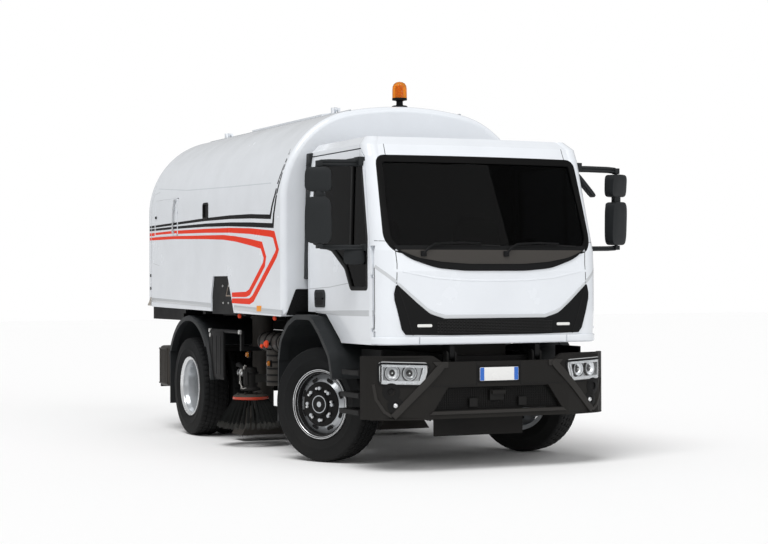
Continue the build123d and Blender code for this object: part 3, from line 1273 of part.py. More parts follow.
for side, name in SIDES:
    with BuildPart() as brush_arm:
        with BuildSketch(Plane.XZ.offset(-(BRUSH_Y - ARM_HALF_WIDTH))):
            with Locations((side * ARM_PIVOT_X, ARM_Z), (side * HEAD_X, ARM_Z)):
                Circle(ARM_EYE_R)
            with Locations((side * (ARM_PIVOT_X + HEAD_X) / 2, ARM_Z)):
                Rectangle(HEAD_X - ARM_PIVOT_X, 56)
            with Locations((side * ARM_PIVOT_X, ARM_Z), (side * HEAD_X, ARM_Z)):
                Circle(ARM_PIN_R + RUNNING_GAP, mode=Mode.SUBTRACT)
        extrude(amount=-2 * ARM_HALF_WIDTH)
    write(brush_arm, f"brush_arm_{name}")

    with BuildPart() as brush_head:
        for shift in (-ARM_HALF_WIDTH - MOVING_GAP - 10, ARM_HALF_WIDTH + MOVING_GAP + 10):
            with BuildSketch(Plane.XZ.offset(-(BRUSH_Y + shift - 10))):
                with Locations((side * HEAD_X, ARM_Z)):
                    Circle(ARM_EYE_R)
                with Locations((side * (HEAD_X + 40), ARM_Z)):
                    Rectangle(80, 2 * ARM_EYE_R)
            extrude(amount=-20)
        with BuildSketch(Plane.XZ.offset(-(BRUSH_Y - ARM_HALF_WIDTH - MOVING_GAP - 10))):
            with Locations((side * HEAD_X, ARM_Z)):
                Circle(ARM_PIN_R)
        extrude(amount=-2 * (ARM_HALF_WIDTH + MOVING_GAP + 10))
        with Locations((side * (BRUSH_X - 5), BRUSH_Y, ARM_Z)):
            Box(70, 2 * (ARM_HALF_WIDTH + MOVING_GAP + 20), 2 * ARM_EYE_R)
        # hydraulic motor, and its shaft down into the brush
        with Locations((side * BRUSH_X, BRUSH_Y, (BRUSH_PLATE_Z + 50 + 704) / 2)):
            Cylinder(62, 704 - BRUSH_PLATE_Z - 50)
        with Locations((side * BRUSH_X, BRUSH_Y, BRUSH_PLATE_Z + 20)):
            Cylinder(20, 80)
    write(brush_head, f"brush_head_{name}")

    with BuildPart() as brush_plate:
        with Locations((side * BRUSH_X, BRUSH_Y, BRUSH_PLATE_Z)):
            Cylinder(BRUSH_PLATE_R, 60)
            Cylinder(20 + RUNNING_GAP, 80, mode=Mode.SUBTRACT)

    with BuildPart() as bristles:
        with BuildSketch(Plane.XZ) as bristle_shape:
            with BuildLine():
                Polyline(
                    (BRUSH_PLATE_R - 50, BRUSH_PLATE_Z - 30),
                    (BRUSH_PLATE_R - 5, BRUSH_PLATE_Z - 30),
                    (BRUSH_TIP_R, BRUSH_TIP_Z + 40),
                    (BRUSH_TIP_R - 60, BRUSH_TIP_Z),
                    (BRUSH_PLATE_R, BRUSH_TIP_Z + 60),
                    close=True,
                )
            make_face()
        revolve(axis=Axis.Z)
    bristles.part = bristles.part.moved(Location((side * BRUSH_X, BRUSH_Y, 0)))
    write_group((brush_plate, bristles), f"brush_{name}")

# ======== Tipping rams: barrels on a cross tube, rods to the hopper ========
RAM_PIN_R = 19
ram_dir = Vector(0, RAM_UPPER_Y - RAM_LOWER_Y, RAM_UPPER_Z - RAM_LOWER_Z)
ram_length = ram_dir.length
with BuildPart() as ram_tube:
    with BuildSketch(Plane.YZ.offset(-RAIL_INSIDE)):
        with Locations((RAM_LOWER_Y, RAM_LOWER_Z)):
            Circle(RAM_PIN_R)
    extrude(amount=2 * RAIL_INSIDE)
write_group((crossmembers, subframe, arm_brackets, ram_tube), "frame_brackets")

RAM_BARREL_LENGTH = ram_length - 75
with BuildPart() as ram_barrels:
    for side, _ in SIDES:
        axis_plane = Plane(
            origin=(side * RAM_X, RAM_LOWER_Y, RAM_LOWER_Z), x_dir=Vector(1, 0, 0), z_dir=ram_dir
        )
        with BuildSketch(axis_plane.offset(-20)):
            Circle(RAM_BARREL_R)
        extrude(amount=RAM_BARREL_LENGTH + 20)
        with BuildSketch(axis_plane.offset(60)):
            Circle(RAM_ROD_R + RUNNING_GAP)
        extrude(amount=RAM_BARREL_LENGTH, mode=Mode.SUBTRACT)
        with BuildSketch(Plane.YZ.offset(side * RAM_X - RAM_BARREL_R - 5)):
            with Locations((RAM_LOWER_Y, RAM_LOWER_Z)):
                Circle(RAM_PIN_R + 20)
        extrude(amount=2 * RAM_BARREL_R + 10)
        with BuildSketch(Plane.YZ.offset(side * RAM_X - RAM_BARREL_R - 10)):
            with Locations((RAM_LOWER_Y, RAM_LOWER_Z)):
                Circle(RAM_PIN_R + RUNNING_GAP)
        extrude(amount=2 * RAM_BARREL_R + 20, mode=Mode.SUBTRACT)
write(ram_barrels, "ram_barrels")

RAM_EYE_WIDTH = 50
with BuildPart() as ram_rods:
    for side, _ in SIDES:
        axis_plane = Plane(
            origin=(side * RAM_X, RAM_LOWER_Y, RAM_LOWER_Z), x_dir=Vector(1, 0, 0), z_dir=ram_dir
        )
        with BuildSketch(axis_plane.offset(70)):
            Circle(RAM_ROD_R)
        extrude(amount=ram_length - 70)
        with BuildSketch(Plane.YZ.offset(side * RAM_X - RAM_EYE_WIDTH / 2)):
            with Locations((RAM_UPPER_Y, RAM_UPPER_Z)):
                Circle(42)
        extrude(amount=RAM_EYE_WIDTH)
write(ram_rods, "ram_rods")

# ======== Hopper: an arch section, drawn from its shoulder and top arcs ========
SHOULDER_X = HOPPER_HALF - HOPPER_SHOULDER_R
SHOULDER_DROP = HOPPER_SHOULDER_Z - HOPPER_TOP
CROWN_SQUARES = HOPPER_SHOULDER_R**2 - SHOULDER_X**2 - SHOULDER_DROP**2
CROWN_R = CROWN_SQUARES / (2 * (SHOULDER_DROP + HOPPER_SHOULDER_R))
CROWN_Z = HOPPER_TOP - CROWN_R
TANGENT_ANGLE = degrees(atan((HOPPER_SHOULDER_Z - CROWN_Z) / SHOULDER_X))


def crown_height(x, out=0):
    """Height of the arch's outer skin at x, within its top arc."""
    return CROWN_Z + sqrt((CROWN_R + out) ** 2 - x**2)


def arch_sketch(plane, inset, bottom):
    """The arch's section, set in from the outer skin, as a face on the given plane."""
    with BuildSketch(plane, mode=Mode.PRIVATE) as section:
        with BuildLine():
            crown = CenterArc(
                (0, CROWN_Z), CROWN_R - inset, TANGENT_ANGLE, 180 - 2 * TANGENT_ANGLE
            )
            left = CenterArc(
                (SHOULDER_X, HOPPER_SHOULDER_Z), HOPPER_SHOULDER_R - inset, 0, TANGENT_ANGLE
            )
            right = CenterArc(
                (-SHOULDER_X, HOPPER_SHOULDER_Z),
                HOPPER_SHOULDER_R - inset,
                180 - TANGENT_ANGLE,
                TANGENT_ANGLE,
            )
            Polyline(left @ 0, (HOPPER_HALF - inset, bottom), (-HOPPER_HALF + inset, bottom), right @ 1)
        make_face()
    return section.sketch


HOPPER_FRONT_WALL = 70
HOPPER_CORNER = 55
HOPPER_INSIDE_Y = HOPPER_FRONT_Y + HOPPER_FRONT_WALL
SIDE_DOOR_FRONT = REAR_AXLE_Y + 323
SIDE_DOOR_REAR = REAR_AXLE_Y + 1110
SIDE_DOOR_BOTTOM = 2061
SIDE_DOOR_TOP = 2436
POCKET_FRONT_Y = FRONT_AXLE_Y + 1702
POCKET_REAR_Y = FRONT_AXLE_Y + 2370
POCKET_TOP = 1620
SIGHT_Y = FRONT_AXLE_Y + 2530
SIGHT_Z = 2270
SIGHT_WIDTH = 150
SIGHT_HEIGHT = 150
HATCH_FRONT_Y = HOPPER_FRONT_Y + 900
HATCH_REAR_Y = HATCH_FRONT_Y + 1900
HATCH_HALF = 480
HATCH_LAP = 45
HATCH_LIFT = 6
HATCH_SHEET = 24
HATCH_PIN_R = 10
HATCH_PIN_Z = HOPPER_TOP + 40

with BuildPart() as hopper_shell:
    arch = arch_sketch(Plane.XZ.offset(-HOPPER_INSIDE_Y), 0, HOPPER_SKIRT_FRONT_Z)
    extrude(arch, amount=-(HOPPER_JOINT_Y - HOPPER_INSIDE_Y))
    extrude(
        arch_sketch(Plane.XZ.offset(-HOPPER_INSIDE_Y + 10), HOPPER_WALL, 0),
        amount=-(HOPPER_JOINT_Y - HOPPER_INSIDE_Y + 20),
        mode=Mode.SUBTRACT,
    )
    # the skirt's lower edge rises to the rear
    with BuildSketch(Plane.YZ.offset(-REACH / 2)):
        with BuildLine():
            Polyline(
                (HOPPER_FRONT_Y, HOPPER_SKIRT_FRONT_Z - 50),
                (HOPPER_FRONT_Y, HOPPER_SKIRT_FRONT_Z),
                (HOPPER_JOINT_Y, HOPPER_SKIRT_REAR_Z),
                (HOPPER_JOINT_Y + 100, HOPPER_SKIRT_REAR_Z),
                (HOPPER_JOINT_Y + 100, HOPPER_SKIRT_FRONT_Z - 50),
                close=True,
            )
        make_face()
    extrude(amount=REACH, mode=Mode.SUBTRACT)
    # side doorways, sight windows, roof hatchway
    with Locations((0, (SIDE_DOOR_FRONT + SIDE_DOOR_REAR) / 2, (SIDE_DOOR_BOTTOM + SIDE_DOOR_TOP) / 2)):
        Box(
            2 * REACH,
            SIDE_DOOR_REAR - SIDE_DOOR_FRONT + 2 * DOOR_GAP,
            SIDE_DOOR_TOP - SIDE_DOOR_BOTTOM + 2 * MOVING_GAP,
            mode=Mode.SUBTRACT,
        )
    with Locations((0, SIGHT_Y, SIGHT_Z)):
        Box(2 * REACH, SIGHT_WIDTH, SIGHT_HEIGHT, mode=Mode.SUBTRACT)
    with Locations((0, (HATCH_FRONT_Y + HATCH_REAR_Y) / 2, HOPPER_TOP)):
        hatch_length = HATCH_REAR_Y - HATCH_FRONT_Y - 2 * HATCH_LAP
        Box(2 * (HATCH_HALF - HATCH_LAP), hatch_length, 400, mode=Mode.SUBTRACT)
    # pockets for the lifting gear, low on both sides
    with BuildSketch(Plane.YZ.offset(-REACH / 2)) as pocket_shape:
        with BuildLine():
            Polyline(
                (POCKET_FRONT_Y, HOPPER_SKIRT_FRONT_Z - 50),
                (POCKET_FRONT_Y, HOPPER_SKIRT_FRONT_Z + 6),
                (POCKET_FRONT_Y + 180, POCKET_TOP),
                (POCKET_REAR_Y - 60, POCKET_TOP),
                (POCKET_REAR_Y, POCKET_TOP - 200),
                (POCKET_REAR_Y, HOPPER_SKIRT_FRONT_Z - 50),
                close=True,
            )
        make_face()
    extrude(amount=REACH, mode=Mode.SUBTRACT)

SIDE_HINGE_X = HOPPER_HALF - HINGE_FROM_SKIN
SIDE_HINGE_Y = SIDE_DOOR_FRONT + HINGE_FROM_EDGE
SIDE_HINGE_LEVELS = (SIDE_DOOR_BOTTOM + 90, SIDE_DOOR_TOP - 90 - 60)
with BuildPart() as hopper_sides:
    add(hopper_shell.part)
    split(bisect_by=Plane.XY.offset(HOPPER_SEAM_Z), keep=Keep.BOTTOM)
    for side, _ in SIDES:
        for z in SIDE_HINGE_LEVELS:
            with Locations((side * SIDE_HINGE_X, SIDE_HINGE_Y - HINGE_ARM_LENGTH / 2, z)):
                Box(HINGE_ARM, HINGE_ARM_LENGTH, HINGE_ARM_HEIGHT)
            with Locations((side * SIDE_HINGE_X, SIDE_HINGE_Y, z)):
                Cylinder(HINGE_PIN_R, HINGE_PIN_LENGTH)
write(hopper_sides, "hopper_sides")

TAIL_HINGE_X = 350
TAIL_HINGE_Y = HOPPER_JOINT_Y - 12
TAIL_HINGE_Z = HOPPER_TOP + 32
TAIL_PIN_R = 12
TAIL_LUG = 24
with BuildPart() as hopper_roof:
    add(hopper_shell.part)
    split(bisect_by=Plane.XY.offset(HOPPER_SEAM_Z), keep=Keep.TOP)
    # lugs and pins of the tailgate hinge and of the hatch hinge
    for side, _ in SIDES:
        for pin_y, pin_z, pin_r, depth in (
            (TAIL_HINGE_Y, TAIL_HINGE_Z, TAIL_PIN_R, 80),
            (HATCH_FRONT_Y - 34, HATCH_PIN_Z, HATCH_PIN_R, 0),
        ):
            for shift in (-TAIL_LUG - MOVING_GAP, TAIL_LUG + MOVING_GAP):
                foot_x = TAIL_HINGE_X + shift
                with BuildSketch(Plane.YZ.offset(side * foot_x - TAIL_LUG / 2)):
                    with BuildLine():
                        Polyline(
                            (pin_y - 20 - depth, crown_height(foot_x) - 22),
                            (pin_y - 14, pin_z + pin_r + 4),
                            (pin_y + 11, pin_z + pin_r + 4),
                            (pin_y + 11, crown_height(foot_x) - 22),
                            close=True,
                        )
                    make_face()
                extrude(amount=TAIL_LUG)
            with BuildSketch(Plane.YZ.offset(side * TAIL_HINGE_X - TAIL_LUG - MOVING_GAP)):
                with Locations((pin_y, pin_z)):
                    Circle(pin_r)
            extrude(amount=2 * (TAIL_LUG + MOVING_GAP))
write(hopper_roof, "hopper_roof")

with BuildPart() as hopper_front:
    extrude(
        arch_sketch(Plane.XZ.offset(-HOPPER_FRONT_Y), 0, HOPPER_SKIRT_FRONT_Z), amount=-HOPPER_FRONT_WALL
    )
    fillet(hopper_front.faces().sort_by(Axis.Y)[0].edges(), HOPPER_CORNER)
write(hopper_front, "hopper_front")

FLOOR_SHEET = 40

CROSS_BEAM_Z = 1242
REAR_BEAM_Z = 1169
RAM_FORK = RAM_EYE_WIDTH / 2 + MOVING_GAP + 8
with BuildPart() as hopper_base:
    for side, _ in SIDES:
        with BuildSketch(Plane.YZ.offset(side * RAIL_X - SUBFRAME_WIDTH / 2)):
            with BuildLine():
                Polyline(
                    (HOPPER_INSIDE_Y, HOPPER_BEAM_Z),
                    (TIP_Y, HOPPER_BEAM_Z),
                    (TIP_Y + LUG_HALF, HOPPER_BEAM_Z + LUG_HALF),
                    (TIP_Y + LUG_HALF, HOPPER_FLOOR_Z),
                    (HOPPER_INSIDE_Y, HOPPER_FLOOR_Z),
                    close=True,
                )
            make_face()
            with Locations((TIP_Y, TIP_Z)):
                Circle(TIP_PIN_RADIUS + RUNNING_GAP, mode=Mode.SUBTRACT)
        extrude(amount=SUBFRAME_WIDTH)
        # side beams at the rear
        side_beam_x = side * (HOPPER_HALF - HOPPER_WALL - 20)
        with Locations((side_beam_x, REAR_AXLE_Y + 810, (REAR_BEAM_Z + HOPPER_FLOOR_Z) / 2)):
            Box(40, 1050, HOPPER_FLOOR_Z - REAR_BEAM_Z)
        # cheeks for the ram eyes
        for cheek in (-RAM_FORK, RAM_FORK):
            with BuildSketch(Plane.YZ.offset(side * RAM_X + cheek - 8)):
                with BuildLine():
                    Polyline(
                        (RAM_UPPER_Y - 90, HOPPER_FLOOR_Z),
                        (RAM_UPPER_Y - 35, RAM_UPPER_Z - 45),
                        (RAM_UPPER_Y + 35, RAM_UPPER_Z - 45),
                        (RAM_UPPER_Y + 90, HOPPER_FLOOR_Z),
                        close=True,
                    )
                make_face()
                with Locations((RAM_UPPER_Y, RAM_UPPER_Z)):
                    Circle(20, mode=Mode.SUBTRACT)
            extrude(amount=16)
    # cross beams under the floor, Y along the truck
    for y in (HOPPER_INSIDE_Y + 120, FRONT_AXLE_Y + 1560, REAR_AXLE_Y - 380, REAR_AXLE_Y + 250):
        with Locations((0, y, (CROSS_BEAM_Z + HOPPER_FLOOR_Z) / 2)):
            Box(2 * (HOPPER_HALF - HOPPER_WALL), 80, HOPPER_FLOOR_Z - CROSS_BEAM_Z)
    with Locations((0, RAM_UPPER_Y, HOPPER_FLOOR_Z - 14)):
        Box(2 * (RAIL_X - 40), 180, 28)
    with Locations((0, REAR_AXLE_Y + 1295, (REAR_BEAM_Z + HOPPER_FLOOR_Z) / 2)):
        Box(2 * (HOPPER_HALF - HOPPER_WALL), 80, HOPPER_FLOOR_Z - REAR_BEAM_Z)
    with Locations((0, (HOPPER_INSIDE_Y + HOPPER_JOINT_Y) / 2, HOPPER_FLOOR_Z + FLOOR_SHEET / 2)):
        Box(2 * (HOPPER_HALF - HOPPER_WALL), HOPPER_JOINT_Y - HOPPER_INSIDE_Y, FLOOR_SHEET)
    mouth_z = HOPPER_FLOOR_Z + FLOOR_SHEET / 2
    with Locations((MOUTH_X, MOUTH_Y, mouth_z), (-MOUTH_X, MOUTH_Y, mouth_z)):
        Cylinder(TRUNK_R - 8, FLOOR_SHEET, mode=Mode.SUBTRACT)
write(hopper_base, "hopper_base")

with BuildPart() as hopper_covers:
    # black plates set back in the pockets, and the sight panes
    for side, _ in SIDES:
        extrude(
            pocket_shape.sketch.moved(Location((REACH / 2 + side * (HOPPER_HALF - 35), 0, 0))),
            amount=side * 20,
        )
        with Locations((side * (HOPPER_HALF - 20), SIGHT_Y, SIGHT_Z)):
            Box(20, SIGHT_WIDTH, SIGHT_HEIGHT)
    with Locations((0, HOPPER_FRONT_Y, HOPPER_SKIRT_FRONT_Z - 75)):
        Box(2 * REACH, 2 * REACH * 2, 150, mode=Mode.SUBTRACT)
write(hopper_covers, "hopper_covers")

# ======== Tailgate, a dished door hung from the roof ========
TAIL_GAP = 8
TAILGATE_BOTTOM = HOPPER_FLOOR_Z + MOVING_GAP
with BuildPart() as tailgate:
    extrude(
        arch_sketch(Plane.XZ.offset(-(HOPPER_JOINT_Y + TAIL_GAP)), 0, TAILGATE_BOTTOM),
        amount=-(TAIL_Y - HOPPER_JOINT_Y - TAIL_GAP),
    )
    fillet(tailgate.faces().sort_by(Axis.Y)[-1].edges(), 70)
    extrude(
        arch_sketch(Plane.XZ.offset(-HOPPER_JOINT_Y), HOPPER_WALL, TAILGATE_BOTTOM + HOPPER_WALL),
        amount=-(TAIL_Y - HOPPER_JOINT_Y - HOPPER_WALL),
        mode=Mode.SUBTRACT,
    )
    for side, _ in SIDES:
        with BuildSketch(Plane.YZ.offset(side * TAIL_HINGE_X - TAIL_LUG / 2)):
            with BuildLine():
                Polyline(
                    (TAIL_HINGE_Y - 18, TAIL_HINGE_Z - 10),
                    (TAIL_HINGE_Y - 18, TAIL_HINGE_Z + 18),
                    (TAIL_HINGE_Y + 30, TAIL_HINGE_Z + 18),
                    (TAIL_Y - 70, crown_height(TAIL_HINGE_X) - 10),
                    (HOPPER_JOINT_Y + TAIL_GAP + 2, crown_height(TAIL_HINGE_X) - 30),
                    (HOPPER_JOINT_Y + TAIL_GAP + 2, TAIL_HINGE_Z - 20),
                    close=True,
                )
            make_face()
            with Locations((TAIL_HINGE_Y, TAIL_HINGE_Z)):
                Circle(TAIL_PIN_R + RUNNING_GAP, mode=Mode.SUBTRACT)
        extrude(amount=TAIL_LUG)
write(tailgate, "tailgate")

# ======== Side doors of the hopper, hung at their front edge ========
for side, name in SIDES:
    with BuildPart() as hopper_door:
        arch = arch_sketch(Plane.XZ.offset(-SIDE_DOOR_FRONT), 0, SIDE_DOOR_BOTTOM)
        extrude(arch, amount=-(SIDE_DOOR_REAR - SIDE_DOOR_FRONT))
        extrude(
            arch_sketch(Plane.XZ.offset(-SIDE_DOOR_FRONT + 10), HOPPER_WALL, SIDE_DOOR_BOTTOM - 10),
            amount=-(SIDE_DOOR_REAR - SIDE_DOOR_FRONT + 20),
            mode=Mode.SUBTRACT,
        )
        split(bisect_by=Plane.XY.offset(SIDE_DOOR_TOP), keep=Keep.BOTTOM)
        split(bisect_by=Plane.YZ, keep=Keep.TOP if side > 0 else Keep.BOTTOM)
        pocket_x = SIDE_HINGE_X - HINGE_POCKET_R + POCKET_REACH / 2
        pocket_y = SIDE_HINGE_Y + HINGE_POCKET_R - POCKET_REACH / 2
        for z in SIDE_HINGE_LEVELS:
            with Locations((side * SIDE_HINGE_X, SIDE_HINGE_Y, z)):
                Cylinder(HINGE_PIN_R + RUNNING_GAP, HINGE_PIN_LENGTH + 2, mode=Mode.SUBTRACT)
            with Locations((side * pocket_x, pocket_y, z)):
                Box(POCKET_REACH, POCKET_REACH, HINGE_POCKET, mode=Mode.SUBTRACT)
    write(hopper_door, f"hopper_door_{name}")

# ======== Roof hatch, hung at its front edge ========
with BuildPart() as roof_hatch:
    extrude(
        arch_sketch(Plane.XZ.offset(-HATCH_FRONT_Y), -HATCH_LIFT - HATCH_SHEET, HOPPER_SHOULDER_Z - 10),
        amount=-(HATCH_REAR_Y - HATCH_FRONT_Y),
    )
    extrude(
        arch_sketch(Plane.XZ.offset(-HATCH_FRONT_Y + 10), -HATCH_LIFT, HOPPER_SHOULDER_Z - 20),
        amount=-(HATCH_REAR_Y - HATCH_FRONT_Y + 20),
        mode=Mode.SUBTRACT,
    )
    for side, _ in SIDES:
        hatch_side_x = side * (HATCH_HALF + REACH / 2)
        with Locations((hatch_side_x, (HATCH_FRONT_Y + HATCH_REAR_Y) / 2, HOPPER_SHOULDER_Z)):
            Box(REACH, 2 * REACH, 2 * HOPPER_SHOULDER_Z, mode=Mode.SUBTRACT)
    for side, _ in SIDES:
        with BuildSketch(Plane.YZ.offset(side * TAIL_HINGE_X - TAIL_LUG / 2)):
            with BuildLine():
                Polyline(
                    (HATCH_FRONT_Y - 52, HATCH_PIN_Z - 8),
                    (HATCH_FRONT_Y - 52, HATCH_PIN_Z + 18),
                    (HATCH_FRONT_Y - 10, HATCH_PIN_Z + 18),
                    (HATCH_FRONT_Y + 60, crown_height(TAIL_HINGE_X, HATCH_LIFT + HATCH_SHEET)),
                    (HATCH_FRONT_Y + 60, crown_height(TAIL_HINGE_X, HATCH_LIFT + HATCH_SHEET) - 15),
                    (HATCH_FRONT_Y + 2, crown_height(TAIL_HINGE_X, HATCH_LIFT + HATCH_SHEET) - 15),
                    (HATCH_FRONT_Y - 30, HATCH_PIN_Z - 18),
                    close=True,
                )
            make_face()
            with Locations((HATCH_FRONT_Y - 34, HATCH_PIN_Z)):
                Circle(HATCH_PIN_R + RUNNING_GAP, mode=Mode.SUBTRACT)
        extrude(amount=TAIL_LUG)
write(roof_hatch, "roof_hatch")

# ======== Beacon on the roof's front edge ========
BEACON_Y = HOPPER_FRONT_Y + 173
BEACON_TOP = 3411
BEACON_R = 69
BEACON_FOOT_R = 75
BEACON_STALK_R = 34
with BuildPart() as beacon:
    with BuildSketch(Plane(origin=(0, BEACON_Y, 0), x_dir=(1, 0, 0), z_dir=(0, -1, 0))):
        with BuildLine():
            Polyline(
                (0, HOPPER_TOP),
                (BEACON_FOOT_R, HOPPER_TOP),
                (BEACON_FOOT_R, HOPPER_TOP + 14),
                (BEACON_STALK_R, HOPPER_TOP + 26),
                (BEACON_STALK_R, HOPPER_TOP + 64),
                (BEACON_R, HOPPER_TOP + 78),
                (BEACON_R, BEACON_TOP - BEACON_R),
            )
            RadiusArc((BEACON_R, BEACON_TOP - BEACON_R), (0, BEACON_TOP), -BEACON_R)
            Line((0, BEACON_TOP), (0, HOPPER_TOP))
        make_face()
    revolve(axis=Axis((0, BEACON_Y, 0), (0, 0, 1)))
write(beacon, "beacon")
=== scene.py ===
"""Looks of a two-axle street sweeper truck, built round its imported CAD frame."""

import functools
import math

import bmesh
import bpy
from mathutils import Matrix, Vector, noise


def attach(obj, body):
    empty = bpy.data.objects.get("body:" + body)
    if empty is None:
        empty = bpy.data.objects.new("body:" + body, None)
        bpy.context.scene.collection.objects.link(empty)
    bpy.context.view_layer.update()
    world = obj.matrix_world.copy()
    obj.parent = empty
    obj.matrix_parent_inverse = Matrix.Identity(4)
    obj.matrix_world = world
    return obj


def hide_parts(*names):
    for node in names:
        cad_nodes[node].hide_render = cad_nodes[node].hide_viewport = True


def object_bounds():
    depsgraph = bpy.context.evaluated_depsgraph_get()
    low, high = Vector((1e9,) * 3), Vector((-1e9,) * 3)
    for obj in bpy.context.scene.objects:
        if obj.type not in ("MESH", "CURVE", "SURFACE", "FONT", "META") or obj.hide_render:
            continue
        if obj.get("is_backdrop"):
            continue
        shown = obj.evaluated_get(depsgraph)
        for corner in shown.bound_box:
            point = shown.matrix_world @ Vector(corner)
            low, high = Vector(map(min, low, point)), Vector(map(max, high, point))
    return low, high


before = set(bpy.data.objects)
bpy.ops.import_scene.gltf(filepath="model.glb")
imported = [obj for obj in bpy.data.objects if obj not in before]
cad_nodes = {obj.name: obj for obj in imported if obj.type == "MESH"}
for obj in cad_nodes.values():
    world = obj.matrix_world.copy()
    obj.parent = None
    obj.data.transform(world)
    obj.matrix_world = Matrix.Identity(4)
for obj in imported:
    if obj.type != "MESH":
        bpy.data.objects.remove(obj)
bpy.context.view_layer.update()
scene = bpy.context.scene

# ======== Camera ========
# A long lens at eye height, off the truck's front right corner, level to a quarter of a degree.
camera = bpy.data.objects.new("camera", bpy.data.cameras.new("camera"))
scene.collection.objects.link(camera)
heading, pitch, roll = (math.radians(angle) for angle in (-24.388, 0.2577, -0.2292))
forward = Vector((-math.sin(heading) * math.cos(pitch), math.cos(heading) * math.cos(pitch), math.sin(pitch)))
level_right = Vector((math.cos(heading), math.sin(heading), 0))
level_up = level_right.cross(forward)
right = level_right * math.cos(roll) + level_up * math.sin(roll)
up = level_up * math.cos(roll) - level_right * math.sin(roll)
facing_truck = Matrix((right, up, -forward)).transposed().to_4x4()
camera.matrix_world = Matrix.Translation((-6.945, -15.802, 1.535)) @ facing_truck
camera.data.sensor_width = 36
camera.data.lens = 82.892
camera.data.shift_x = 0.00734
camera.data.shift_y = 0.00559
camera.data.clip_end = 200
scene.camera = camera
scene.view_settings.view_transform = "Standard"

# ======== Studio ========
# White paper floor and a white surround; a broad soft lamp overhead and a weaker one towards the nose.
bpy.ops.mesh.primitive_plane_add(size=120)
floor = bpy.context.object
floor.name = "studio_floor"
paper = bpy.data.materials.new("studio_floor")
paper.use_nodes = True
paper_shader = paper.node_tree.nodes["Principled BSDF"]
paper_shader.inputs["Base Color"].default_value = (0.93, 0.93, 0.93, 1)
paper_shader.inputs["Roughness"].default_value = 0.9
paper_shader.inputs["Specular IOR Level"].default_value = 0.1
floor.data.materials.append(paper)
floor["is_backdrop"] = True


def add_node(tree, kind, *links, **values):
    """A node with its settings; each link is (source socket, name or number of the input it feeds)."""
    node = tree.nodes.new(kind)
    for key, value in values.items():
        if hasattr(node, key):
            setattr(node, key, value)
        else:
            node.inputs[key.replace("_", " ")].default_value = value
    for source, target in links:
        tree.links.new(source, node.inputs[target])
    return node


world = bpy.data.worlds.new("studio")
scene.world = world
world.use_nodes = True
sky = world.node_tree
surround = sky.nodes["Background"]
surround.inputs["Color"].default_value = (1, 1, 1, 1)
ray = add_node(sky, "ShaderNodeLightPath").outputs
straight = ((ray["Is Camera Ray"], 0), (ray["Is Transmission Ray"], 1))
seen = add_node(sky, "ShaderNodeMath", *straight, operation="MAXIMUM")
level = add_node(sky, "ShaderNodeMapRange", (seen.outputs[0], "Value"), To_Min=0.42)
sky.links.new(level.outputs[0], surround.inputs["Strength"])
for lamp_name, turn, strength, spread in (
    ("overhead_softbox", (30, 0, -48), 2.05, 34),
    ("nose_softbox", (62, 0, 12), 0.62, 44),
):
    lamp = bpy.data.objects.new(lamp_name, bpy.data.lights.new(lamp_name, "SUN"))
    lamp.data.energy = strength
    lamp.data.angle = math.radians(spread)
    lamp.rotation_euler = [math.radians(angle) for angle in turn]
    scene.collection.objects.link(lamp)


